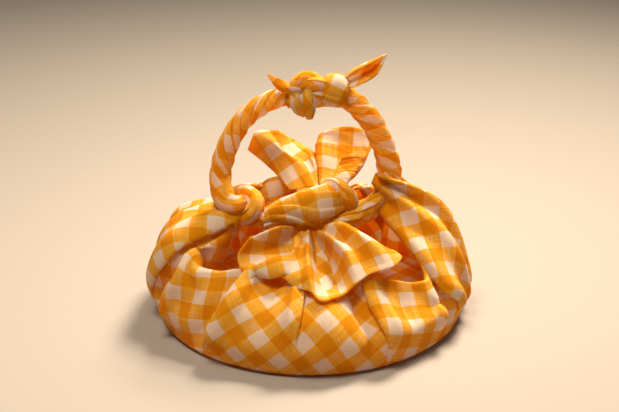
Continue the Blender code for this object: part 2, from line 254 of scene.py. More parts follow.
def give_thickness(piece, hem=None):
    """One layer of cloth, with its middle on the sheet; hem lists the points sewn double."""
    wall = piece.modifiers.new("cloth", "SOLIDIFY")
    wall.thickness = CLOTH_THICKNESS * MM
    wall.offset = 0
    wall.use_even_offset = False
    if hem is not None:
        group = piece.vertex_groups.new(name="hem")
        group.add(hem.tolist(), 1.0, "REPLACE")
        wall.thickness = HEM * CLOTH_THICKNESS * MM
        wall.vertex_group = "hem"
        wall.thickness_vertex_group = 1 / HEM
    return piece


# %% [markdown]
# ## The cloth itself
#
# Colours are chosen as sRGB hex codes, and shaders want linear ones, so one function turns them
# over. Another adds a node with its settings and links, because a material of more than thirty
# nodes is easier to follow when nearly each of them is one line.

# %% Colour and node helpers
def linear(code):
    """An sRGB hex colour as linear red, green, blue and alpha."""
    parts = [int(code[k : k + 2], 16) / 255 for k in (1, 3, 5)]
    return (*[x / 12.92 if x <= 0.04045 else ((x + 0.055) / 1.055) ** 2.4 for x in parts], 1.0)


def add_node(tree, kind, settings=None, inputs=None):
    """One node with its settings, and its inputs set to values or linked to a socket or node."""
    node = tree.nodes.new(kind)
    for key, value in (settings or {}).items():
        setattr(node, key, value)
    for key, value in (inputs or {}).items():
        if isinstance(value, bpy.types.Node):
            value = value.outputs[0]
        if isinstance(value, bpy.types.NodeSocket):
            tree.links.new(value, node.inputs[key])
        else:
            node.inputs[key].default_value = value
    return node


# %% [markdown]
# This is a plain-woven cotton and linen check. White and yellow threads cross in stripes 10 mm
# wide: white over white gives the pale squares, yellow over yellow the deep ones, and a mix gives
# the middle tone. A Wave or Checker texture could draw it, but two square waves that are averaged
# say just what a loom does. The yarn is slubby, so single threads come out thicker and paler.
# The cloth is thin and lets light through, so part of its diffuse light is translucent, and what
# passes through the yarn comes out deeper in colour.

# %% Yellow and white check in plain weave
STRIPE = 10.0  # width of one stripe, mm
THREAD = 0.9  # spacing of threads, mm: wider than the real one, so that it shows
SLUBS = 45.0  # slubs in a metre along a thread
WANDER = 0.0012  # how far a stripe strays, m
WANDERS = 90.0  # how often it strays in a metre
SOFT_EDGE = 0.12  # part of the sine over which one stripe changes to the next
SLUB_TONE = -0.55  # a slub is this much paler
SLUB_HEIGHT = 2.5  # and this much higher than a thread
THROUGH = 0.46  # part of the diffuse light that passes through the cloth
WHITE_YARN = "#F6E4CC"
MIXED_YARN = "#F7BF2E"
YELLOW_YARN = "#EFA000"
MATH, VECTOR, NOISE = "ShaderNodeMath", "ShaderNodeVectorMath", "ShaderNodeTexNoise"
ADD, SUBTRACT, MULTIPLY, SINE = [
    {"operation": name} for name in ("ADD", "SUBTRACT", "MULTIPLY", "SINE")
]


def checked_cotton():
    """Plain-woven check: per direction a square wave of stripes, and the two of them averaged."""
    material = bpy.data.materials.new("checked_cotton_linen")
    material.use_nodes = True
    tree = material.node_tree
    tree.nodes.clear()
    uv = add_node(tree, "ShaderNodeUVMap", {"uv_map": "flat_cloth"})
    stray = add_node(tree, NOISE, {}, {"Vector": uv, "Scale": WANDERS, "Detail": 2.0})
    off = add_node(tree, VECTOR, SUBTRACT, {0: stray.outputs["Color"], 1: (0.5, 0.5, 0.5)})
    off = add_node(tree, VECTOR, {"operation": "SCALE"}, {0: off, "Scale": WANDER})
    place = add_node(tree, VECTOR, ADD, {0: uv, 1: off})
    split = add_node(tree, "ShaderNodeSeparateXYZ", {}, {0: place})
    yellow, threads, slubs = [], [], []
    fineness = 1 / (THREAD * MM)
    for axis, stretched in enumerate(((fineness, SLUBS, 1.0), (SLUBS, fineness, 1.0))):
        along = split.outputs[axis]
        wave = add_node(tree, MATH, MULTIPLY, {0: along, 1: math.pi / (STRIPE * MM)})
        wave = add_node(tree, MATH, SINE, {0: wave})
        stripe = add_node(
            tree,
            "ShaderNodeMapRange",
            {"interpolation_type": "SMOOTHSTEP"},
            {"Value": wave, "From Min": -SOFT_EDGE, "From Max": SOFT_EDGE, "To Min": 0.0, "To Max": 1.0},
        )
        yellow.append(stripe)
        fine = add_node(tree, MATH, MULTIPLY, {0: along, 1: 2 * math.pi * fineness})
        threads.append(add_node(tree, MATH, SINE, {0: fine}))
        drawn = add_node(tree, VECTOR, MULTIPLY, {0: place, 1: stretched})
        slubs.append(add_node(tree, NOISE, {}, {"Vector": drawn, "Scale": 1.0, "Detail": 1.0}))
    both = add_node(tree, MATH, ADD, dict(enumerate(yellow)))
    both = add_node(tree, MATH, MULTIPLY, {0: both, 1: 0.5})
    loose = add_node(tree, MATH, ADD, dict(enumerate(slubs)))
    loose = add_node(tree, MATH, SUBTRACT, {0: loose, 1: 1.0})
    paler = add_node(tree, MATH, MULTIPLY, {0: loose, 1: SLUB_TONE})
    tone = add_node(tree, MATH, ADD, {0: both, 1: paler})
    ramp = add_node(tree, "ShaderNodeValToRGB", {}, {"Fac": tone})
    white, deepest = ramp.color_ramp.elements
    white.position = 0.04
    white.color = linear(WHITE_YARN)
    deepest.position = 1.0
    deepest.color = linear(YELLOW_YARN)
    ramp.color_ramp.elements.new(0.5).color = linear(MIXED_YARN)
    weave = add_node(tree, MATH, MULTIPLY, dict(enumerate(threads)))
    thicker = add_node(tree, MATH, MULTIPLY, {0: loose, 1: SLUB_HEIGHT})
    height = add_node(tree, MATH, ADD, {0: weave, 1: thicker})
    bump = add_node(
        tree, "ShaderNodeBump", {}, {"Strength": 0.35, "Distance": 0.0002, "Height": height}
    )
    shader = add_node(
        tree,
        "ShaderNodeBsdfPrincipled",
        {},
        {"Base Color": ramp, "Roughness": 0.85, "Metallic": 0.0, "IOR": 1.5,
         "Specular IOR Level": 0.12, "Sheen Weight": 0.05, "Sheen Roughness": 0.5, "Normal": bump},
    )
    deep = add_node(tree, "ShaderNodeGamma", {}, {"Color": ramp, "Gamma": 1.25})
    glow = add_node(tree, "ShaderNodeBsdfTranslucent", {}, {"Color": deep, "Normal": bump})
    mix = add_node(tree, "ShaderNodeMixShader", {}, {0: THROUGH, 1: shader, 2: glow})
    add_node(tree, "ShaderNodeOutputMaterial", {}, {"Surface": mix})
    return material


cotton = checked_cotton()
print("material", cotton.name, "with", len(cotton.node_tree.nodes), "nodes")


# %% [markdown]
# ## The bag
#
# The bag is one sheet: a round base, a wall, and four arms that run up to the knots. Each row of
# the first table is a line of the cloth from the base up. The sheet between two lines is read
# from smooth curves through them.

# %% The lines of the bag's cloth
BASE_RADIUS = 100.5
BASE_ROUND = 3.0  # height at which the wall begins
BASE_HEIGHT = 0.35  # the middle of the base's cloth over the floor
BULGE_HEIGHT = 22.0
MIDDLE = np.array([0.5, 0.5])
UP = np.array([0, 0, 1.0])
STATIONS = (
    # name, azimuths at base and bulge, bulge's radius, shoulder, end, how much the brim rolls in
    ("left arm, back edge",        149, 149,   103, (-78, 42, 52),  (-46, 12, 70),        0),
    ("left arm, back",             163, 163,   105, (-88, 25, 58),  (-42, 6, 77),         0),
    ("left arm, top",              176, 176,   106, (-90, 4, 62),   (-41, -1, 80),        0),
    ("left arm, front",            186, 186, 105.5, (-87, -15, 60), (-42, -8, 77),        0),
    ("left arm, front fold",       191, 191, 105.5, (-85, -29, 54), (-45, -15, 72),       0),
    ("left side, under the fold",  195, 194, 103.5, (-84, -34, 50), (-57, -25, 62),     0.6),
    ("left side, back of mouth",   200, 199, 103.5, (-84, -40, 47), (-68, -34, 58),       1),
    ("left side, brim's corner",   206, 206, 103.5, (-83, -49, 41), (-75, -43, 54),       1),
    ("left side, brim",            213, 213,   103, (-77, -58, 38), (-73.5, -51.5, 49),   1),
    ("left side, brim's front",    220, 221, 102.5, (-66, -66, 38), (-59, -58, 50),       1),
    ("left side, by the panel",    225, 228, 100.5, (-56, -70, 40), (-47, -59, 53),     0.6),
    ("front panel, left fold",     228, 232, 101.5, (-50, -73, 42), (-38, -60, 54.5),     0),
    ("front panel, left hem",      234, 237, 101.5, (-43, -76, 43), (-24, -44, 55),       0),
    ("front panel, left",          242, 244,   102, (-35, -79, 43), (-9, -27, 57),        0),
    ("front panel, pleat's back",  262, 263,   101, (-8, -85, 42),  (-2, -29, 60),        0),
    ("front panel, pleat",         266, 266,   103, (-3, -86, 43),  (1, -29, 60),         0),
    ("front panel, right",         284, 283,   102, (20, -82, 40),  (10, -28, 60),        0),
    ("front panel, right hem",     290, 290,   101, (27, -79, 38),  (19, -42, 58),        0),
    ("front panel, right edge",    296, 295, 100.5, (34, -76, 36),  (27, -58, 54),        0),
    ("right side, fold",           299, 298, 102.5, (39, -77, 35),  (34, -65, 48.5),    0.3),
    ("right side, brim's front",   306, 306,   102, (51, -72, 34),  (43, -61, 48),        1),
    ("right side, brim",           313, 313, 102.5, (62, -68, 32),  (54, -59, 45.5),      1),
    ("right side, brim's dip",     320, 320,   103, (73, -61, 29),  (66, -56, 42),        1),
    ("right side, brim's corner",  327, 327,   103, (81, -52, 27),  (77, -48, 41),      0.8),
    ("right side, back of mouth",  332, 332,   103, (85, -45, 29),  (73, -38, 47),      0.2),
    ("right side, under the fold", 337, 336,   103, (84, -42, 34),  (62, -23, 60),        0),
    ("right arm, front fold",      341, 340, 104.5, (80, -40, 44),  (45, -11, 75),        0),
    ("right arm, front",           348, 348, 104.5, (88, -21, 56),  (43, -9, 91),         0),
    ("right arm, top",             359, 359, 104.5, (88, 2, 69),    (48, -10, 98),        0),
    ("right arm, back",            373, 373, 104.5, (83, 23, 63),   (59, -2, 94),         0),
    ("right arm, back edge",       389, 389,   103, (76, 43, 50),   (56, 9, 84),          0),
    ("back right, brim's corner",  398, 398, 102.5, (71, 55, 44),   (61, 44, 59),         1),
    ("back right, brim",           408, 408, 102.5, (60, 68, 44),   (54, 59, 59),         1),
    ("back right, by the panel",   416, 415,   101, (49, 75, 46),   (43, 62, 61),       0.6),
    ("back panel, right fold",     420, 419, 102.5, (44, 78, 49),   (35, 53, 64),         0),
    ("back panel, right hem",      427, 426, 102.5, (36, 81, 51),   (23, 26, 71),         0),
    ("back panel, right",          434, 434, 102.5, (27, 83, 52),   (11, -5, 76),         0),
    ("back panel, middle",         450, 450,   103, (0, 86, 53),    (1, -7, 78),          0),
    ("back panel, left",           466, 466, 102.5, (-27, 83, 52),  (-9, -5, 76),         0),
    ("back panel, left hem",       473, 474, 102.5, (-36, 81, 51),  (-22, 26, 71),        0),
    ("back panel, left fold",      480, 481, 102.5, (-44, 78, 49),  (-35, 53, 65),        0),
    ("back left, by the panel",    484, 485,   101, (-50, 75, 47),  (-43, 61, 63),      0.6),
    ("back left, brim",            492, 492, 102.5, (-62, 66, 46),  (-55, 57, 62),        1),
    ("back left, brim's corner",   501, 501, 102.5, (-73, 53, 46),  (-62, 42, 62),        1),
)
print(len(STATIONS), "lines of cloth")

# %% [markdown]
# The extra cloth between two arms has to go somewhere: it lies in folds. Each row of this table
# is one fold. The sheet on one side lies over the other, and between them a hidden layer runs
# back. `over` is +1 where the cloth after the fold is the upper one, and -1 where the cloth before
# it is. `low` and `high` are its azimuths at the foot and the top of the wall. `depth` is how far
# the hidden layer reaches, `lift` how far the upper cloth stands off, and `reach` where it lies
# down again. `start` and `full` are shares of the way up, and `parts` says whether the cloth on
# its two sides leaves the base in two directions.

# %% The folds between the bag's panels
FOLDS = (
    # name, low, high, over, depth, lift, reach, start, full, parts
    ("left arm over left side",      191,   193, -1,  10, 4.2, 14, 0.06,  0.6,  True),
    ("front panel over left side",   228,   228, +1,  11, 4.6, 18, 0.02, 0.35,  True),
    ("pleat of the front panel",     265,   265, -1, 5.5, 3.2, 12,  0.2, 0.66, False),
    ("right side over the panel",  298.5, 298.5, +1,  10, 4.8, 14, 0.08,  0.5,  True),
    ("right arm over right side",    339, 333.5, +1,  10,   4,  9, 0.08,  0.5,  True),
    ("right arm over back right",    389,   388, -1,   8,   3, 14, 0.08,  0.6,  True),
    ("back panel over back right",   420,   420, +1,  10, 2.8, 18, 0.05, 0.45,  True),
    ("pleat of the back panel",      444,   444, +1,   4, 2.4, 14,  0.4, 0.75, False),
    ("back panel, second pleat",     458,   458, -1,   4, 2.4, 14,  0.4, 0.75, False),
    ("back panel over back left",    480,   480, -1,  10, 2.8, 18, 0.05, 0.45,  True),
    ("left arm over back left",      508,   509, +1,   8,   3, 14, 0.08,  0.6,  True),
)
Fold = namedtuple("Fold", "name low high over depth lift reach start full parts")
FOLDS = [Fold(*row) for row in FOLDS]
PANELS = sum(fold.parts for fold in FOLDS)
# A fold's section: distance past its edge as parts of the depth and in millimetres, the layer's
# height as parts of the lift and in millimetres. The list runs with the azimuth where over is +1.
FOLD_SECTION = (
    (   0,   -2,    0, -0.2),
    (   0,    0,    0, -0.4),
    ( 0.3,    0,    0, -0.5),
    (0.65,    0,    0, -0.5),
    (0.95,    0,    0, -0.4),
    (   1,  0.6,    0,    0),
    (0.95,    0,    0,  0.4),
    ( 0.6,    0, 0.05,  0.4),
    (0.25,    0, 0.12,  0.4),
    (   0,  0.4, 0.18,  0.4),
    (   0, -0.5, 0.35,  0.5),
    (   0, -0.7,  0.6,  0.5),
    (   0, -0.1, 0.82,  0.4),
    (   0,  1.2, 0.97,  0.2),
    (   0,    3,    1,    0),
    (   0,    5, 0.95,    0),
)
LOWER_POINTS = 6  # the section's points on the lower cloth
# Soft ridges and troughs. They fall off by these widths before and after their line.
RIDGES = (
    # name, azimuths at foot and top, start and end as shares of the height, size, widths
    ("left arm, back crest",        163,   161, 0.35,  1.3,  2.6,   8,   3),
    ("left arm, hollow",            171,   169,  0.4,  1.3,   -3,   7,   7),
    ("left arm, crest",             181,   179,  0.4,  1.3,  2.6, 3.5,   7),
    ("left arm, roll",            187.5,   189,  0.2,  1.2,    3,   7,   4),
    ("left side, by the arm",     196.5, 198.5, 0.05, 0.85,   -6,   5,   4),
    ("left side, crest",            208, 204.5, 0.05,  1.1,  5.4, 3.4, 4.5),
    ("left side, hollow",           216,   214,  0.3,  0.9, -3.2,   6,   6),
    ("left side, by the panel",     225,   226, 0.02, 0.95,   -4,   5, 2.5),
    ("front panel, by the fold",    234,   236, 0.25,  0.9,  1.8,   6,   6),
    ("front panel, left hollow",    249,   249,  0.3,  1.3, -3.2,  11,   9),
    ("front panel, by the pleat",   261,   261,  0.3,  1.3,  2.6,   6,   3),
    ("front panel, right swell",    279,   277, 0.15,  0.9,  2.2,  10,   9),
    ("front panel, right hollow",   293,   293, 0.05, 0.95, -4.4,   6,   4),
    ("right side, by the fold",   302.5,   303, 0.25, 0.85,  2.2, 3.5,   6),
    ("right side, hollow",          311,   311, 0.25,  0.9, -2.4,   6,   6),
    ("right side, crest",           324, 325.5, 0.08,  0.9,  4.2,   4, 3.5),
    ("right side, by the arm",    332.5,   331, 0.05,  0.8,   -5, 4.5, 4.5),
    ("right arm, roll",             344,   340,  0.1,  1.3,  2.2,   4,   5),
    ("right arm, lower trough",   346.5,   345, 0.12,  1.3, -2.4,   4,   3),
    ("right arm, lower crest",      350, 348.5, 0.08,  1.3,    3, 2.6,   6),
    ("right arm, upper trough",   355.5, 354.5, 0.15,  1.3,   -3,   5, 2.4),
    ("right arm, upper crest",    359.5, 357.5, 0.12,  1.3,  3.6, 2.4,   6),
    ("right arm, hollow",           369,   367,  0.3,  1.3, -5.2,   6,   7),
    ("right arm, back crest",       379,   377,  0.3,  1.3,  1.6,   5,   5),
    ("back right, hollow",          408,   408,  0.3,  0.9, -2.6,   8,   8),
    ("back panel, hollow",          434,   434,  0.3,  1.3,   -3,  10,  10),
    ("back panel, swell",           451,   451,  0.3,  1.3,    2,   9,   9),
    ("back panel, left hollow",     468,   468,  0.3,  1.3,   -3,  10,  10),
    ("back left, hollow",           493,   493,  0.3,  0.9, -2.6,   8,   8),
)
print(len(FOLDS), "folds and", len(RIDGES), "ridges and troughs")

# %% [markdown]
# The wall is drawn smooth first, and the folds are laid on it afterwards. A sculpted wall could
# hold both at once, but then no fold could be moved without spoiling its neighbours. Each line runs
# from the base's edge through the bulge and the shoulder to its end at the brim or at a knot.

# %% The smooth wall under the folds
WALL_ROWS = 62
FINE = 1440  # lines of the wall read from the table before the folds are laid
FINE_STEP = 360 / FINE


def ring(degrees, radius):
    """Points of the table's plane at these azimuths and distances from the base's middle."""
    angle = np.radians(degrees)
    flat = np.stack([np.cos(angle), np.sin(angle)], axis=-1) * np.asarray(radius)[..., None]
    return flat + MIDDLE


def smooth_wall():
    """Lines of the wall every quarter degree: an even curve up through foot, bulge, shoulder, end."""
    base = np.array([row[1] for row in STATIONS], float)
    data = np.array([[row[2] - row[1], row[3], *row[4], *row[5], row[6]] for row in STATIONS])
    at = base[0] + np.arange(FINE) * FINE_STEP
    read = smooth_round(base, data, at)
    foot = np.column_stack([ring(at, BASE_RADIUS), np.full(FINE, BASE_ROUND)])
    bulge = np.column_stack([ring(at + read[:, 0], read[:, 1]), np.full(FINE, BULGE_HEIGHT)])
    wall = flowing(np.stack([foot, bulge, read[:, 2:5], read[:, 5:8]]), WALL_ROWS)
    return at, wall, read[:, 8]


wall_at, wall_points, wall_turn = smooth_wall()
around = np.concatenate([wall_points, wall_points[:, :1]], axis=1)
wall_out = facing(around)[:, :FINE]
print("wall", wall_points.shape, "from z", wall_points[0, :, 2].min(), "to", wall_points[..., 2].max())


def read_wall(table, t):
    """A table of the wall's rows and fine lines, read at the azimuths t (rows, columns)."""
    place = (t - wall_at[0]) / FINE_STEP
    i = np.floor(place).astype(int)
    part = (place - i)[..., None]
    row = np.arange(len(t))[:, None]
    return table[row, i % FINE] * (1 - part) + table[row, (i + 1) % FINE] * part


# %% [markdown]
# The grid's columns are laid next. At a fold they run past its edge, turn under and come back, so
# an azimuth can come up three times. At the foot of the wall the fold has no depth, and its
# columns lie side by side. Plain columns fill the stretches between two folds.

# %% Columns of the bag's grid
COLUMN_GAP = 2.5  # widest space between two plain columns at the foot, mm
FOOT_GAP = 0.3  # space between a fold's columns at the foot, mm
STANDING = 0.95  # part of the lift at which the upper cloth meets the fold
SINKING = 0.2  # how far the lower cloth is pressed in beside a fold, mm
SINK_REACH = 4.0


def fold_block(fold, height, per_degree):
    """Azimuths and layer heights (rows, columns) of one fold's own columns."""
    deep, past, high, off = np.array(FOLD_SECTION, float).T
    grown = ease(fold.start, fold.full, height)[:, None]
    foot = (np.arange(len(deep)) - len(deep) / 2) * FOOT_GAP
    past = foot * (1 - grown) + (deep * fold.depth * grown + past) * grown
    layer = (high * fold.lift + off) * grown
    i = int(round((fold.low - wall_at[0]) / FINE_STEP)) % FINE
    edge = (fold.low + (fold.high - fold.low) * height)[:, None]
    azimuth = edge + fold.over * past / per_degree[:, i : i + 1]
    return (azimuth, layer) if fold.over > 0 else (azimuth[:, ::-1], layer[:, ::-1])


def beside(fold, upper, distance, height):
    """Height of the plain cloth this far from a fold: the upper one stands, the lower one sinks."""
    grown = ease(fold.start, fold.full, height)[:, None]
    if upper:
        return grown * fold.lift * STANDING * (1 - ease(0, fold.reach, distance))
    return -grown * SINKING * (1 - ease(0, SINK_REACH, distance))


def bag_columns():
    """Every column's azimuth and layer height in each row, and the panel that it belongs to."""
    height = np.linspace(0, 1, WALL_ROWS)
    per_degree = np.maximum(np.linalg.norm(np.diff(around, axis=1), axis=-1) / FINE_STEP, 0.5)
    blocks = [fold_block(fold, height, per_degree) for fold in FOLDS]
    azimuths, layers, panels = [], [], []
    panel = PANELS - 1
    for k, fold in enumerate(FOLDS):
        last = k + 1 == len(FOLDS)
        after, turn = (FOLDS[0], 360) if last else (FOLDS[k + 1], 0)
        azimuth, layer = blocks[k]
        before = panel
        panel = (panel + fold.parts) % PANELS
        first = LOWER_POINTS if fold.over > 0 else len(FOLD_SECTION) - LOWER_POINTS
        panels += [before] * first + [panel] * (len(FOLD_SECTION) - first)
        left, right = azimuth[:, -1:], blocks[(k + 1) % len(FOLDS)][0][:, :1] + turn
        gap = math.radians(after.low + turn - fold.low) * BASE_RADIUS
        count = max(3, round(gap / COLUMN_GAP))
        share = (np.arange(count) + 1) / (count + 1)
        panels += [panel] * count
        azimuths += [azimuth, left + (right - left) * share]
        rise = beside(fold, fold.over > 0, gap * share, height)
        layers += [layer, rise + beside(after, after.over < 0, gap * (1 - share), height)]
    return np.concatenate(azimuths, axis=1), np.concatenate(layers, axis=1), np.array(panels)


azimuths, layers, panels = bag_columns()
print("bag's grid", azimuths.shape)


# %% [markdown]
# The wall is read at the columns and moved out by the folds, the ridges and the small waves. Past
# its top the cloth rolls in where the brim is free, and is tucked in where it runs into a knot.

# %% The bag's points
ROLL_ROWS = 14
BRIM_ROLLS = (
    # azimuth, radius of the brim's roll in mm
    (194, 4.2), (200, 5.6), (207, 5.4), (213, 4.6), (221, 2.6), (300, 1.4), (313, 1.4), (326, 2.2),
    (398, 2.2), (408, 1.8), (485, 1.8), (500, 2.2),
)
ROLL_PAST = 100  # how far past level the roll turns, degrees
ROLL_LENGTH = 1.7  # length of the roll in quarter circles of its radius
FLAP = 15.0  # the cloth that hangs inside the brim
TUCK = 3.0
EVENED = 7  # columns to each side over which the brim's direction is averaged
LOWEST = 0.4  # the wall's cloth stays this far above the floor
RIDGE_GROWS = 0.25  # share of the height over which a ridge grows
RIDGE_ENDS = (-0.15, 0.1)  # and between which it fades about its end
BASE_RINGS = np.linspace(0.04, 1.0, 22)
WAVES = (
    # length across, waves up the wall, slant, size, seed
    (17, 3.2, 0.01, 0.55, 3),
    (6.5, 7, 0.03, 0.32, 8),
)
WAVES_GROW = (0.05, 0.5)  # shares of the height between which the waves grow
LIFT_GROWS = (-0.02, 0.1)  # and between which everything laid on the wall does


def relief(azimuth, height):
    """Listed ridges and troughs, and the small unevenness of soft cloth."""
    rise = np.zeros_like(azimuth)
    across = np.radians(azimuth) * BASE_RADIUS
    for name, low, high, start, end, size, before, after in RIDGES:
        middle = np.radians(low + (high - low) * height)[:, None] * BASE_RADIUS
        fading = ease(end + RIDGE_ENDS[0], end + RIDGE_ENDS[1], height)
        strength = ease(start, start + RIDGE_GROWS, height) * (1 - fading)
        for turn in (-360, 0, 360):
            past = across - middle + math.radians(turn) * BASE_RADIUS
            rise += size * strength[:, None] * hill(past, np.where(past < 0, before, after))
    up = height[:, None]
    waves = sum(
        uneven(across / length, up * rises + across * slant, seed) * size
        for length, rises, slant, size, seed in WAVES
    )
    return rise + waves * ease(*WAVES_GROW, up)


def brim(wall):
    """The rows past the wall's top: rolled in and down where the brim is free, else a short tuck."""
    ahead = wall[-1] - wall[-3]
    ahead = unit(sum(np.roll(ahead, k, axis=0) for k in range(-EVENED, EVENED + 1)))
    inward = unit(ahead * (1, 1, 0))
    turn = read_wall(np.tile(wall_turn[None, :, None], (WALL_ROWS, 1, 1)), azimuths)[-1]
    rise = np.arctan2(ahead[:, 2], np.linalg.norm(ahead[:, :2], axis=1))
    share = np.linspace(0, 1, ROLL_ROWS)[:, None]
    bend = rise - (rise + math.radians(ROLL_PAST)) * np.minimum(share * 2, 1)
    at, size = np.array(BRIM_ROLLS, float).T
    radius = np.interp(azimuths[-1], at, size, period=360)[None]
    step = np.where(share < 0.5, radius * math.pi / ROLL_ROWS * ROLL_LENGTH, FLAP / ROLL_ROWS * 2)
    move = inward * (np.cos(bend) * step)[..., None] + UP * (np.sin(bend) * step)[..., None]
    straight = ahead * (share * TUCK + 0.01)[..., None]
    return wall[-1] + np.cumsum(move, axis=0) * turn + straight * (1 - turn)


def bag_points():
    """The wall read at the columns and moved along its normal by layers and relief; base and brim."""
    height = np.linspace(0, 1, WALL_ROWS)
    wall = read_wall(wall_points, azimuths)
    lift = (layers + relief(azimuths, height)) * ease(*LIFT_GROWS, height)[:, None]
    wall = wall + unit(read_wall(wall_out, azimuths)) * lift[..., None]
    wall[..., 2] = np.maximum(wall[..., 2], LOWEST)
    around_base = np.ones(azimuths.shape[1])
    base = [
        np.column_stack([ring(azimuths[0], around_base * radius), around_base * BASE_HEIGHT])
        for radius in BASE_RINGS * (BASE_RADIUS - BASE_ROUND)
    ]
    return np.concatenate([np.array(base), wall, brim(wall)])


bag_grid = bag_points()
print("bag", bag_grid.shape, "up to z", round(float(bag_grid[..., 2].max()), 1))


# %% [markdown]
# Each panel's cloth leaves the base in its own direction, and the folds take up the wedge between
# two directions. So a point's place on the flat cloth is: the base's edge at the panel's middle,
# moved round by the distance walked across the panel, and then out by the height walked up it.

# %% The bag's place on the flat cloth
PANEL_CLOTH = (
    # name, direction in which the cloth leaves the base, turned by, moved by
    ("left side",   225, -25, (15, 0)),
    ("front",       270,   0, (0, -5)),
    ("right side",  315,  15, (5, -5)),
    ("right arm",     0,   0, (0, 0)),
    ("back right",   45,   0, (0, 0)),
    ("back",         90,   0, (0, 0)),
    ("back left",   135,   0, (0, 0)),
    ("left arm",    180, -35, (0, 0)),
)
CLOTH_MIDDLE = 300.0  # keeps every place on the flat cloth positive


def threads_at_45(flat):
    """The cloth's threads lie at 45 degrees to the way from corner to corner."""
    return rotated(flat, -math.pi / 4) + CLOTH_MIDDLE


def bag_cloth(points):
    """Flat places: R e(middle + across / R) + height times the panel's direction, then the lie."""
    base_rows = len(BASE_RINGS)
    closed = np.concatenate([points, points[:, :1]], axis=1)
    across = walked(closed, 1)
    up = np.concatenate([np.zeros((base_rows, closed.shape[1])), walked(closed[base_rows:], 0)])
    columns = np.concatenate([azimuths[0], azimuths[0, :1] + 360])
    foot = BASE_RADIUS + BASE_ROUND
    flat = np.zeros((*closed.shape[:2], 2))
    for k, (name, direction, turned, move) in enumerate(PANEL_CLOTH):
        inside = np.flatnonzero(panels == k)
        turns = np.zeros(len(inside))
        parted = np.flatnonzero(np.diff(inside) > 1)
        if len(parted):
            turns[: parted[0] + 1] = 360
            inside, turns = np.roll(inside, -parted[0] - 1), np.roll(turns, -parted[0] - 1)
        centre = len(inside) // 2
        walk = across[:, inside] + across[:, -1:] * (turns > 0)
        walk = walk - walk[:, centre : centre + 1]
        way = math.radians(direction)
        angle = np.radians(columns[inside[centre]] + turns[centre]) - way + walk / BASE_RADIUS
        angle = angle - 2 * math.pi * round(float(angle[0, centre]) / (2 * math.pi))
        plain = np.stack([np.sin(angle) * foot, np.cos(angle) * foot + up[:, inside] - foot], axis=-1)
        wall = plain[base_rows - 1 :]
        plain[base_rows - 1 :] = aligned(laid_flat(closed[base_rows - 1 :, inside], wall), wall)
        plain = rotated(plain, math.radians(turned))
        away = np.stack([plain[..., 1] + foot, plain[..., 0]], axis=-1)
        flat[:, inside] = threads_at_45(rotated(away, way)) + move
    flat[:, -1] = flat[:, 0]
    disc = np.stack([np.cos(np.radians(columns)), np.sin(np.radians(columns))], axis=-1)
    flat[: base_rows - 2] = threads_at_45((BASE_RINGS[:-2] * BASE_RADIUS)[:, None, None] * disc)
    return flat


bag = cloth_piece(
    "checked_bag", bag_grid, bag_cloth(bag_grid), cotton, round_closed=True,
    ends=((*MIDDLE, BASE_HEIGHT), None),
)
give_thickness(bag)
print("bag", len(bag.data.vertices), "points")


# %% [markdown]
# ## The fan at the front
#
# The cloth's front corner comes out of the knot as a fan. Each row of the table is one crease or
# crest, from the knot to the hem, and the sheet runs smoothly from one to the next. Where two rows
# lie close together the crease is sharp.

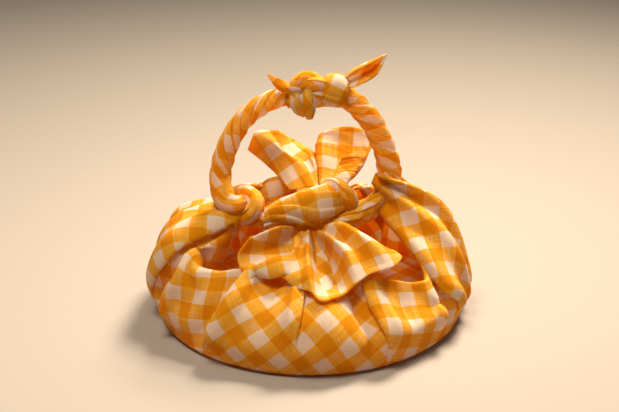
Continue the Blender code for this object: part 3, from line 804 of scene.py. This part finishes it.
# %% Creases of the fan
FRONT_FAN = (
    # name, then points from the knot to the hem
    ("upper rim, back", (-8.5, -24, 67.5), (-17.5, -31, 71), (-27.5, -39, 71), (-34, -45, 69)),
    ("upper rim", (-8, -26, 68), (-18, -35, 73), (-28.5, -43, 72.5), (-37.5, -48, 70.5)),
    ("upper rim, under", (-8, -27, 66.5), (-18, -35.5, 70), (-29, -44, 69.5), (-40.5, -50.5, 68)),
    ("cup, left", (-7.5, -26.5, 65), (-16, -33, 62), (-28, -43, 62), (-38, -50, 62), (-44.5, -54, 62.5)),
    ("cup, bottom", (-6.5, -26.5, 64.5), (-14, -34, 59.5), (-25, -44, 59), (-36, -52, 58.8),
     (-44.5, -57, 58.5)),
    ("cup, front", (-5.5, -27, 65), (-9.5, -37, 60.5), (-12.5, -47, 58.5), (-20, -53, 58), (-30, -57, 57),
     (-43, -60, 54.8)),
    ("lip, inside", (-5, -29, 67), (-8.7, -40, 65.5), (-10.5, -50, 62.5), (-13.5, -55.5, 61.3),
     (-23, -59.5, 60.8), (-33, -62, 58.3), (-41, -61.5, 54.8)),
    ("lip", (-4.5, -30, 67.5), (-8.6, -41, 68.5), (-9.8, -52, 66), (-12.5, -57.5, 63.8), (-22, -61.5, 63),
     (-31.5, -63.5, 60), (-39.5, -62.5, 55)),
    ("lip, outside", (-4, -30.5, 67), (-6.5, -46, 67), (-9.5, -58, 62.5), (-19, -65, 61.5),
     (-29.5, -67, 57), (-34.5, -64.5, 53)),
    ("lobe, under", (-3.5, -31, 67), (-6, -48, 65.5), (-8.5, -60, 61), (-16, -68, 58), (-24, -69, 54),
     (-27, -66, 51.5)),
    ("hem's notch", (-3, -31, 67), (-5, -50, 64.5), (-7.5, -62, 60), (-13, -69, 56.5),
     (-19.5, -67, 52.5)),
    ("face, left", (-2.5, -31, 67.5), (-4.2, -50, 65), (-5.5, -63, 60.5), (-10, -71, 56),
     (-14.5, -71, 52.5)),
    ("face", (-1.8, -31.5, 68), (-3, -50, 65.8), (-3.8, -64, 61), (-5.5, -74, 56), (-8, -77, 50)),
    ("ridge", (-0.8, -32, 69), (-1, -50, 67.5), (-0.5, -65, 63), (0, -77, 58), (0.5, -83, 50.5)),
    ("ridge's edge", (0.3, -31, 67.5), (1.4, -48, 62), (2, -62, 58), (3, -75, 54), (4.5, -87, 48)),
    ("hollow, left", (1.5, -29.5, 65), (4, -43, 55.5), (6, -60, 50.5), (8, -74, 48.5), (9.5, -87, 46.5)),
    ("hollow, right", (3, -29, 65), (8.5, -39, 56.5), (14.5, -55, 51), (17.5, -69, 48.5),
     (18.5, -81, 46)),
    ("inner crest's foot", (4, -30, 67), (11, -44, 65), (20, -59, 59), (25, -76, 48)),
    ("inner crest", (6, -31, 68.5), (13, -48, 71.5), (22.5, -61, 67), (30, -74, 52)),
    ("groove", (8, -30, 68), (15.5, -42, 68.5), (29.5, -57, 66.5), (38, -69, 56)),
    ("upper crest", (9.5, -30, 70.5), (20, -43, 77), (36, -56, 73), (51.5, -64, 58)),
    ("top", (10, -28, 71), (21, -39, 77.5), (38.5, -50, 71.5), (57.5, -56, 60.5)),
    ("top, turned back", (10, -26, 70.5), (20.5, -34, 74), (37.5, -42, 67), (54.5, -48, 61)),
)


CURVE_POINTS = 240  # points read along a crease before they are spaced evenly
REACH = 25.0  # how far behind the grid's first row the cloth is gathered, mm
HEM_WIDTH = 3.0
CREASE_WAVES = ((8.0, 13.0, 1.0), (3.8, 9.0, 0.5))  # length across, length along, size
FREE = (0.05, 0.4)  # shares of the way to the hem between which the waves grow


def creased(table, across, along, seed=1, rough=0.35):
    """Even curves down the creases and across them, with small waves along the normal."""
    rows = []
    for name, *points in table:
        fine = flowing(points, CURVE_POINTS)
        walk = walked(fine[:, None], 0)[:, 0]
        even = np.linspace(0, walk[-1], along)
        rows.append(np.stack([np.interp(even, walk, fine[:, k]) for k in range(3)], axis=-1))
    grid = flowing(rows, across).transpose(1, 0, 2)
    down, side = walked(grid, 0), walked(grid, 1)
    wave = sum(
        size * uneven(side / wide, down / long, seed + k)
        for k, (wide, long, size) in enumerate(CREASE_WAVES)
    )
    free = ease(*FREE, np.linspace(0, 1, along))[:, None]
    return grid + facing(grid) * (wave * rough * free)[..., None]


def own_cloth(grid, middle, origin, twist, slip=None):
    """Flat places of a free sheet: a fan round the knot to begin with, then settled.

    A column's angle is the sum of step across / (distance from the knot + REACH) half way down.
    `slip` moves the cloth between two columns, as a hidden fold would.
    """
    radius = walked(grid, 0) + REACH
    half = len(grid) // 2
    step = np.diff(walked(grid, 1)[half])
    angle = np.concatenate([[0], np.cumsum(step / radius[half, 1:])])
    angle = angle - angle[middle]
    start = np.stack([radius * np.cos(angle), radius * np.sin(angle)], axis=-1)
    flat = laid_flat(grid, start)
    way = flat[half, middle] - flat[0, middle]
    turn = math.radians(twist) - math.atan2(way[1], way[0])
    flat = rotated(flat - flat[half, middle], turn) + origin
    if slip:
        first, last, move = slip
        flat = flat + ease(first, last, np.arange(grid.shape[1]))[:, None] * move
    return flat


def free_sheet(name, table, size, seed, middle, origin, twist, slip=None, rough=0.35, hem=False):
    """A creased sheet of this many columns and rows, laid on its own stretch of the cloth."""
    grid = creased(table, *size, seed, rough)
    cloth = own_cloth(grid, middle, origin, twist, slip)
    piece = cloth_piece(name, grid, cloth, cotton, turned=True)
    down = walked(grid, 0)
    sewn = np.flatnonzero((down[-1:] - down < HEM_WIDTH).ravel()) if hem else None
    print(name, len(piece.data.vertices), "points")
    return give_thickness(piece, sewn)


fan = free_sheet(
    "front_fan", FRONT_FAN, (210, 72), 5, 124, (14, 14), 67, slip=(165, 148, (9, -3)), hem=True
)


# %% [markdown]
# ## The two ears at the back
#
# The back corner comes out of the same knot as two upright ears with the cloth's tip hanging
# between them.

# %% Creases of the ears
BACK_EARS = (
    # name, then points from the knot to the hem
    ("left, near edge", (-12.5, -8, 87), (-23, 4, 94.5), (-31.5, 12, 99.5), (-40.5, 18, 105)),
    ("left, near face", (-8, -9, 88), (-18.5, 3, 98.5), (-28.5, 11, 106), (-38, 18, 112)),
    ("left, corner", (-3.5, -9, 88.5), (-14, 3, 100.5), (-25, 12, 110), (-35, 19, 117.5)),
    ("left, band", (-0.5, -9, 89.5), (-9.5, 3, 101.5), (-21.5, 12, 111), (-28, 21, 117)),
    ("left, crest", (3, -8, 89), (-5, 3, 100.5), (-17, 13, 106), (-22, 22, 117)),
    ("left, behind crest", (3.5, -6, 88), (-3.5, 9, 98.5), (-15.5, 20, 102.5), (-21, 27, 115)),
    ("left, hollow", (4, -5, 88), (-0.5, 13, 99.5), (-9, 25, 103.5), (-13.5, 32, 108)),
    ("left, far side", (5, -4.5, 87.5), (2.5, 12, 100), (-1.5, 23, 103), (-4.5, 30, 103)),
    ("left, far edge", (5.5, -4, 88), (4.5, 10, 95), (3.5, 18, 97.5), (2.5, 26, 99)),
    ("tip, left", (6, -2, 86.5), (5, 16, 86.5), (4.5, 32, 83.5), (4, 47, 82)),
    ("tip", (7.5, -2, 86.5), (7, 18, 83.5), (7, 36, 82), (7, 53, 80.5)),
    ("tip, right", (8, -2, 86.5), (8.5, 16, 87), (8.5, 32, 85), (9, 47, 83.5)),
    ("right, far edge", (7, -4, 88), (4.5, 13, 95.5), (4, 25, 103), (6, 31.5, 108.5)),
    ("right, far streak", (9, -5, 88.5), (9.5, 12, 98), (11, 24, 106.5), (12.5, 31.5, 113.5)),
    ("right, far top", (11.5, -5, 88.5), (16, 14, 97), (19, 26, 106.5), (22.5, 32, 116)),
    ("right, far side", (15.5, -5, 88.5), (23.5, 14, 97), (28.5, 25, 105), (34, 31.5, 114.8)),
    ("right, outer edge", (20.5, -6, 88), (30.5, 8, 94.5), (37, 18, 100.5), (41, 27, 109.5)),
    ("right, inner turn", (21.5, -9, 88.5), (31, 4, 93.5), (35, 10, 96.5), (38, 17, 103)),
    ("right, lobe's side", (20.5, -10, 89), (28.5, 1, 96), (32.5, 7, 99), (34.5, 13, 103)),
    ("right, lobe", (18, -10, 89), (23, 0, 96.5), (26.5, 6, 100), (28.5, 12, 104)),
    ("right, lobe's edge", (13.5, -10, 89), (16.5, -1, 95.5), (19.5, 5, 99), (22.5, 10, 103)),
    ("right, under the lobe", (14, -8, 88.5), (18, 3, 93.5), (20.5, 9, 97), (24, 14, 100)),
)
ears = free_sheet(
    "back_ears", BACK_EARS, (200, 60), 12, 94, (1, 0), -35, slip=(95, 118, (-5, 6)), hem=True
)


# %% [markdown]
# ## Ropes
#
# Each side corner is twisted on itself until it is a rope. Seen from outside it is a few folds
# that lie over each other and wind round. The section is a saw: within one fold the radius grows
# slowly, and at the fold's edge it drops back to the next one below. The section turns as it is
# carried along the path.

# %% Bundles of folded cloth
SAW = (0.0, 0.10, 0.25, 0.42, 0.60, 0.76, 0.88, 0.96, 1.0)
FACE = 0.985  # share of a fold's turn before it drops to the next
ROUNDED = 0.8  # under 1 a fold rises fast and rounds over
VARIED = 0.25  # how much the folds differ in depth
VARIED_BY = (2.4, 19.0)  # radians from a fold to the next, and millimetres along in a radian
BUMPS = (6.5, 1.2, 0.03)  # length along, how many in a radian round, size in parts of the radius
SKIP = (6.3, 5.04)  # cloth hidden between two folds along and across the bundle, mm


def carried(table, rings):
    """An even path, its sizes and twist, and a frame at each ring: ahead, up and side."""
    read = flowing([[*row[0], *row[1:]] for row in table], rings)
    path = read[:, :3]
    ahead = unit(np.gradient(path, axis=0))
    up = np.zeros_like(ahead)
    up[0] = unit(np.cross(ahead[0], (0.0, 1.0, 0.0)))
    for k in range(1, rings):
        up[k] = unit(up[k - 1] - ahead[k] * (up[k - 1] @ ahead[k]))
    return path, read[:, 3:], ahead, up, np.cross(ahead, up)


def bundle(name, table, rings, folds, drop, seed, turned=45.0, cloth_from=(0, 0)):
    """Radius = half size times (1 - drop + drop * saw); the saw turns along the path."""
    path, sizes, ahead, up, side = carried(table, rings)
    length = walked(path[:, None], 0)[:, 0]
    saw = np.array(SAW)
    phase = (np.arange(folds)[:, None] + saw * FACE).ravel() / folds
    turns = np.concatenate([[0], np.cumsum(np.diff(length) * (sizes[1:, 2] + sizes[:-1, 2]) / 200)])
    angle = 2 * math.pi * (phase[None] + turns[:, None])
    fold_of = np.repeat(np.arange(folds), len(saw))
    along = length[:, None]
    depth = drop * (1 - VARIED + VARIED * np.sin(fold_of * VARIED_BY[0] + along / VARIED_BY[1]))
    radius = 1 - depth * (1 - np.tile(saw, folds) ** ROUNDED)
    radius = radius + BUMPS[2] * uneven(along / BUMPS[0] + 0 * angle, angle * BUMPS[1], seed)
    high, deep = np.cos(angle) * sizes[:, :1] * radius, np.sin(angle) * sizes[:, 1:2] * radius
    grid = path[:, None] + high[..., None] * up[:, None] + deep[..., None] * side[:, None]
    girth = 2 * math.pi * sizes[:, :2].mean()
    skipped = np.append(fold_of, folds)
    along = along + skipped * SKIP[0]
    across = np.append(phase, 1.0) * girth + skipped * SKIP[1] + 0 * along
    cloth = rotated(np.stack([along, across], axis=-1), math.radians(turned)) + cloth_from
    ends = (path[0] - ahead[0] * sizes[0, 0] * 0.3, path[-1] + ahead[-1] * sizes[-1, 0] * 0.3)
    piece = cloth_piece(name, grid, cloth, cotton, round_closed=True, ends=ends)
    face_outward(piece)
    print(name, "length", round(float(length[-1])), "mm")
    return piece


def face_outward(piece):
    """Turns a closed mesh if its volume, summed from its faces, comes out negative."""
    mesh = piece.data
    points = np.zeros(len(mesh.vertices) * 3, np.float32)
    mesh.vertices.foreach_get("co", points)
    points = points.reshape(-1, 3)
    mesh.calc_loop_triangles()
    corners = np.zeros(len(mesh.loop_triangles) * 3, np.int32)
    mesh.loop_triangles.foreach_get("vertices", corners)
    a, b, c = points[corners.reshape(-1, 3)].transpose(1, 0, 2)
    if np.einsum("ij,ij->i", a, np.cross(b, c)).sum() < 0:
        mesh.flip_normals()


# %% [markdown]
# The two ropes make the handle. The left one comes up out of a cuff, a turn of cloth round its
# foot, and the right one rises from its arm. A twisted tube with a bump map could pass for a rope,
# but the folds show in the outline, so they are real ones.

# %% The two ropes of the handle
LEFT_ROPE = (
    # middle, half height and half depth, turns of the twist in 100 mm
    ((-43, -13.5, 80.5), 5.6, 5.2, 0),
    ((-48.5, -15.5, 79.5), 6.8, 6.2, -0.2),
    ((-54, -13, 81.5), 7.6, 7, -0.5),
    ((-57.2, -8.5, 88), 7.6, 7.2, -1),
    ((-57.6, -4, 96.5), 7.4, 7.2, -1.5),
    ((-54.5, -2, 110), 7.3, 7.3, -1.6),
    ((-48.5, -1, 123.5), 7, 7, -1.6),
    ((-40, 0, 135), 6.8, 6.8, -1.7),
    ((-29, 0, 143), 6.6, 6.6, -1.8),
    ((-16, 0, 148.5), 6.6, 6.6, -1.8),
    ((-2, 0, 151), 6.5, 6.5, -1.8),
)
LEFT_CUFF = (
    ((-58, -2, 78), 5, 5, 0),
    ((-56.5, -7, 73.5), 6, 6, -0.3),
    ((-50.5, -11.5, 71.3), 6.8, 6.6, -0.4),
    ((-43, -13.5, 71.8), 7.2, 7, -0.5),
    ((-37, -13, 75), 7, 7, -0.6),
    ((-35.5, -10, 79.5), 6.6, 6.6, -0.6),
    ((-38.5, -5, 81.5), 6.2, 6.2, -0.6),
    ((-43.5, 1, 81), 6, 6, -0.5),
    ((-50, 5, 77), 5.5, 5.5, -0.4),
)
RIGHT_ROPE = (
    ((52, 0, 80), 7, 7, -1),
    ((52.5, 0, 90), 8.2, 8.2, -1.8),
    ((51.5, 0, 101), 8.2, 8.2, -2.2),
    ((49, 0, 111), 7.6, 7.6, -2.4),
    ((45, 0, 121), 7.6, 7.6, -2.4),
    ((39.5, 0, 131.5), 7.6, 7.6, -2.4),
    ((31, 0, 141.5), 7.4, 7.4, -2.2),
    ((21, 0, 149), 7.2, 7.2, -2),
    ((10, 0, 152), 7, 7, -2),
)
ropes = [
    bundle("left_rope", LEFT_ROPE, 280, 6, 0.26, 21, turned=8),
    bundle("left_cuff", LEFT_CUFF, 140, 8, 0.26, 24, turned=4, cloth_from=(7, 31)),
    bundle("right_rope", RIGHT_ROPE, 240, 5, 0.26, 22, turned=-14),
]

# %% [markdown]
# ## Knots
#
# A knot is a band of folded cloth over a bundle. The band is a sheet that arches over: each row of
# its table is one section, with its middle, half height, half depth and the angles where the
# sheet starts at the front and ends at the back. A second sheet inside it shows as a second hem.

# %% Bands of the centre knot
CENTRE_BAND = (
    # middle             half height, half depth, from, to
    ((-29, -22, 71), 6, 5.5, -40, 185),
    ((-25.5, -21.5, 74), 6.6, 6.5, -50, 195),
    ((-20, -21, 76.5), 7.6, 8, -60, 200),
    ((-11, -20.5, 78.5), 9.6, 10, -75, 205),
    ((-3, -20, 79), 12, 12, -90, 205),
    ((5, -19, 79), 13.4, 13, -100, 205),
    ((12, -16.5, 80.5), 13, 12.5, -105, 205),
    ((19, -13.5, 82), 10.6, 10.5, -110, 205),
    ((26, -10, 82), 6.8, 7, -110, 205),
    ((31, -8, 80), 3, 3.5, -110, 205),
)
PLEAT_RISE = 0.88  # share of a pleat over which it rises; then it drops back
PLEAT_STRAY = 0.12  # how far a pleat strays, in pleats
PLEAT_ROUGH = 0.3  # size of the small waves on the pleats, in parts of their depth


def band(name, table, across, along, seed, pleats=5, depth=0.9, slant=0.0, cloth_from=(0, 0), twist=0):
    """Arches: middle + up * high sin(angle) + front * deep cos(angle), with pleats of this depth."""
    read = flowing([[*row[0], *row[1:]] for row in table], along)
    share = np.linspace(0, 1, across)[None]
    down = np.linspace(0, 1, along)[:, None]
    flat = 0 * share * down
    angle = np.radians(read[:, 5:6] + (read[:, 6:7] - read[:, 5:6]) * share)
    stray = uneven(share * 3 + flat, down * 3 + flat, seed + 5)
    phase = share * pleats + slant * down + PLEAT_STRAY * stray
    saw = phase - np.floor(phase)
    wave = ease(0, 1, np.where(saw < PLEAT_RISE, saw / PLEAT_RISE, (1 - saw) / (1 - PLEAT_RISE)))
    wave = wave + PLEAT_ROUGH * uneven(share * pleats * 1.7 + flat, down * 4 + flat, seed)
    size = depth * (wave - 0.5)
    high, deep = read[:, 3:4] + size, read[:, 4:5] + size
    arch = np.stack([flat, -np.cos(angle) * deep, np.sin(angle) * high], axis=-1)
    grid = read[:, None, :3] + arch
    print(name, grid.shape)
    cloth = own_cloth(grid, across // 2, cloth_from, twist)
    return give_thickness(cloth_piece(name, grid, cloth, cotton, turned=True))


KNOT_CORE = (
    ((-24, -19, 72), 4, 4, 0.4),
    ((-16, -19, 75), 5.5, 5.5, 0.4),
    ((-5, -18, 77), 9, 9, 0.4),
    ((6, -17, 78), 11, 10.5, 0.4),
    ((16, -14, 80), 9, 9, 0.4),
    ((27, -9, 81), 4.5, 4.5, 0.4),
)
KNOT_TURN = (
    ((10, -8, 90), 4.5, 5, 0.6),
    ((16, -13, 91.5), 6, 6, 0.6),
    ((22, -16, 88), 6.2, 6.2, 0.6),
    ((26, -17, 82.5), 5.8, 5.8, 0.6),
    ((25, -15, 77), 4.5, 5, 0.6),
)
INNER_BAND = (
    ((-28, -21.5, 70.5), 4, 4, -45, 175),
    ((-22, -21, 74), 5.4, 5.8, -55, 190),
    ((-12, -20, 76.5), 7.4, 7.8, -75, 200),
    ((-3, -19, 77.5), 9.6, 9.6, -90, 200),
)
knot = [
    band(
        "centre_knot_band", CENTRE_BAND, 130, 90, 31, pleats=6, depth=1.3, slant=1.2,
        cloth_from=(208, 203), twist=-12,
    ),
    band("centre_knot_inner", INNER_BAND, 90, 40, 32, pleats=4, cloth_from=(31, 7), twist=20),
    bundle("centre_knot_core", KNOT_CORE, 60, 5, 0.18, 33, cloth_from=(3, 11)),
    bundle("centre_knot_turn", KNOT_TURN, 60, 6, 0.26, 34, cloth_from=(13, 5)),
]

# %% [markdown]
# Beside and under the centre knot the cloth is gathered into bundles that mostly lie in shadow.
# They are made as the ropes are, with less twist.

# %% Bundles that lead to the knot
RIGHT_BUNDLE = (
    ((12, -23, 70), 4, 4.5, 0.7),
    ((22, -23, 72), 5.4, 5.4, 0.7),
    ((33, -18, 75.5), 5.6, 5.6, 0.7),
    ((43, -10, 81), 5, 5.5, 0.7),
    ((50, -4, 87), 5, 5, 0.7),
)
UNDER_BUNDLE = (
    ((-46, -8, 69), 7, 7, 0.4),
    ((-25, -10, 68), 8, 9, 0.4),
    ((0, -12, 68), 8, 11, 0.4),
    ((20, -12, 69), 8, 10, 0.4),
    ((36, -8, 72), 8, 8, 0.4),
    ((50, -2, 78), 7, 7, 0.4),
)
bundles = [
    bundle("right_bundle", RIGHT_BUNDLE, 60, 7, 0.30, 41, cloth_from=(14, 3)),
    bundle("under_bundle", UNDER_BUNDLE, 60, 6, 0.22, 42, cloth_from=(5, 25)),
]

# %% [markdown]
# One fold stands up on its own behind the knot's left end. It is a small free sheet, made as the
# fan is.

# %% The fold that stands up behind the knot's left end
BACK_FOLD = (
    ("left foot", (-31, 3, 74), (-32, 5, 80), (-31, 7, 86)),
    ("left side", (-29, 0, 75), (-30, 1, 83), (-27, 4, 90)),
    ("top", (-24, -2, 76), (-23, 0, 85), (-21, 3, 92)),
    ("right side", (-18, 0, 76), (-16, 2, 84), (-14, 4, 90)),
    ("right foot", (-13, 2, 76), (-9, 4, 82), (-7, 6, 87)),
)
back_fold = free_sheet("back_fold", BACK_FOLD, (60, 30), 51, 30, (55, 15), 20)

# %% [markdown]
# At the top the ropes are tied into a small tight knot. It could be followed as two whole ropes, but
# most of their way is hidden. So it is built from what shows: a band round the ropes, a roll and a
# loop over it, two tongues that hang in front and the two tails. A core fills the inside.

# %% The knot at the top of the handle
TOP_BAND = (
    # a ring round the rope: middle, half height, half depth, from, to
    ((8, -2, 151.5), 8.6, 8, -260, 100),
    ((11, -2, 152.5), 10.4, 9, -260, 100),
    ((16, -1, 152.5), 11, 9.6, -260, 100),
    ((21, -1, 152), 10.6, 9.4, -260, 100),
    ((24.5, -1, 151), 8.2, 8, -260, 100),
)
TOP_CORE = (
    ((-14, -2, 147), 6, 6, 1.1),
    ((-6, -4, 148.5), 7, 7, 1.1),
    ((3, -4, 150), 8, 7.5, 1.1),
    ((12, -2, 151), 8.5, 7.5, 1.1),
    ((22, -1, 150), 7, 7, 1.1),
)
TOP_ROLL = (
    ((-6, -6, 156), 2.6, 3, 1.1),
    ((-1, -7, 158.5), 3.8, 4, 1.1),
    ((5, -7, 159), 4.4, 4.4, 1.1),
    ((10, -5, 158), 4.4, 4.4, 1.1),
)
TOP_LOOP = (
    ((7, -2, 158), 3.5, 4, 1.1),
    ((2, -3, 161.5), 3.6, 4.2, 1.1),
    ((-4, -4, 162), 3.8, 4.4, 1.1),
    ((-9, -5, 158.5), 4, 4.4, 1.1),
    ((-10, -6, 153), 4.2, 4.4, 1.1),
    ((-7, -7, 148), 4.4, 4.4, 1.1),
)
TONGUE_LEFT = (
    ((-9, -6, 153), 3.6, 4.2, 0.8),
    ((-8.5, -8.5, 147.5), 4.6, 4.6, 0.8),
    ((-6, -8.5, 142.5), 4.6, 4, 0.8),
    ((-2.5, -8, 139), 3, 3, 0.8),
)
TONGUE_RIGHT = (
    ((-1, -8, 155), 3.4, 4, 0.8),
    ((-0.5, -11, 149), 4.4, 4.4, 0.8),
    ((0, -11, 142.5), 4, 4, 0.8),
    ((0, -9.5, 137), 2.4, 2.6, 0.8),
)
LEFT_TAIL = (
    ("back", (-2, -5, 157.5), (-11, -6, 159), (-19, -6.5, 162), (-26.5, -6, 165.5)),
    ("fold", (-2, -8, 156.5), (-11, -9.5, 156.5), (-20, -9, 158.5), (-27, -6.3, 165.5)),
    ("front", (-2, -8, 154), (-11, -9, 153), (-19.5, -8.5, 155), (-26.8, -6.5, 165)),
)
RIGHT_TAIL = (
    ("top, back", (18, 1, 158), (28, 1, 166), (38, -1, 172), (48.5, -2, 177)),
    ("top, front", (18, -2, 157.5), (28, -3, 165.5), (38, -3.5, 171), (48.6, -2.2, 176.9)),
    ("hollow", (19, 0.5, 155), (30, 1.5, 161), (40, 0, 167.5), (48.6, -2, 176.8)),
    ("low, front", (20, -3, 153.5), (31, -5, 157.5), (42, -4.5, 164), (48.7, -2.4, 176.7)),
    ("low, back", (20, -1, 153), (31, -2, 157), (41, -2.5, 164), (48.5, -2, 176.6)),
)
top = [
    band(
        "top_knot_band", TOP_BAND, 150, 50, 61, pleats=4, slant=0.3, cloth_from=(121, 33), twist=10
    ),
    bundle("top_knot_core", TOP_CORE, 60, 4, 0.22, 62, cloth_from=(9, 2)),
    bundle("top_knot_roll", TOP_ROLL, 40, 3, 0.25, 64, cloth_from=(4, 3)),
    bundle("top_knot_loop", TOP_LOOP, 80, 4, 0.28, 63, cloth_from=(2, 6)),
    bundle("top_tongue_left", TONGUE_LEFT, 40, 4, 0.25, 65, cloth_from=(12, 14)),
    bundle("top_tongue_right", TONGUE_RIGHT, 40, 3, 0.28, 66, cloth_from=(5, 12)),
]
top += [
    free_sheet("left_tail", LEFT_TAIL, (50, 50), 72, 25, (63, 22), 45, rough=0.2),
    free_sheet("right_tail", RIGHT_TAIL, (50, 50), 73, 25, (83, 62), 45, rough=0.2),
]

# %% [markdown]
# ## Riding on the imported model
#
# The whole wrap is one soft body, so every piece rides on the root and stands for the one solid.
# The bag rides there with the other stretches of the same cloth.

# %% Every piece rides and replaces the cloth's solid
others = [fan, ears, *ropes, *knot, *bundles, back_fold, *top]
for piece in [bag, *others]:
    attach(piece, "root")
    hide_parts("furoshiki_cloth")

# %% [markdown]
# ## Floor, light and camera
#
# The floor is a pale matte sheet, wide enough to fill the camera's view. It is only a stage, and not
# part of the wrap.

# %% The floor
FLOOR_HALF = 3.0  # half its side, m
FLOOR_DROP = 0.0002  # how far it lies under the base, m


def plain_floor():
    """A wide pale sheet just under the base."""
    mesh = bpy.data.meshes.new("floor")
    signs = ((-1, -1), (1, -1), (1, 1), (-1, 1))
    corners = [(x * FLOOR_HALF, y * FLOOR_HALF, -FLOOR_DROP) for x, y in signs]
    mesh.from_pydata(corners, [], [(0, 1, 2, 3)])
    floor = bpy.data.objects.new("floor", mesh)
    bpy.context.scene.collection.objects.link(floor)
    material = bpy.data.materials.new("pale_matte_paint")
    material.use_nodes = True
    shader = material.node_tree.nodes["Principled BSDF"]
    shader.inputs["Base Color"].default_value = linear("#9F9488")
    shader.inputs["Roughness"].default_value = 0.8
    mesh.materials.append(material)


plain_floor()


# %% [markdown]
# A warm light stands high behind, as a window would, so that thin cloth glows and the shadow falls
# forward. A weaker one hangs nearly overhead, and a broad dim one in front fills the folds. Small
# bright lamps could do it too, but broad ones give a shadow its soft edge.

# %% Lights and world
LIGHTS = (
    # name, place and aim in metres, width in metres, power, colour, angle of the beam
    ("window_behind", (0.44, 0.66, 1.28), (0, 0, 0.08), 0.45, 9.3, "#FFF1DE", 75),
    ("window_above", (-0.3, -0.3, 1.35), (0, 0, 0.08), 0.5, 4.0, "#FFF3E2", 90),
    ("fill_in_front", (0.8, -1.2, 0.7), (0, 0, 0.07), 1.2, 0.9, "#FFF1E0", 180),
)
for name, place, aim, width, power, colour, spread in LIGHTS:
    data = bpy.data.lights.new(name, "AREA")
    data.shape = "SQUARE"
    data.size = width
    data.energy = power
    data.color = linear(colour)[:3]
    data.spread = math.radians(spread)
    lamp = bpy.data.objects.new(name, data)
    lamp.location = place
    lamp.rotation_euler = (Vector(aim) - Vector(place)).to_track_quat("-Z", "Y").to_euler()
    bpy.context.scene.collection.objects.link(lamp)
print(len(LIGHTS), "lights")
world = bpy.data.worlds.new("soft_room")
world.use_nodes = True
background = world.node_tree.nodes["Background"]
background.inputs["Color"].default_value = linear("#FFF6EC")
background.inputs["Strength"].default_value = 0.165
bpy.context.scene.world = world
bpy.context.scene.view_settings.view_transform = "Standard"

# %% [markdown]
# The camera looks down from 23 degrees, through a long lens, so that near and far folds keep their
# sizes.

# %% Camera
AIM_HEIGHT = 0.0722  # m
DISTANCE = 0.961  # m
ELEVATION = math.radians(23.0)
data = bpy.data.cameras.new("camera")
data.lens = 85
data.sensor_width = 36
camera = bpy.data.objects.new("camera", data)
back = np.array([0.0, -math.cos(ELEVATION), math.sin(ELEVATION)])
camera.location = back * DISTANCE + (0, 0, AIM_HEIGHT)
camera.rotation_euler = (math.pi / 2 - ELEVATION, 0, 0)
bpy.context.scene.collection.objects.link(camera)
bpy.context.scene.camera = camera
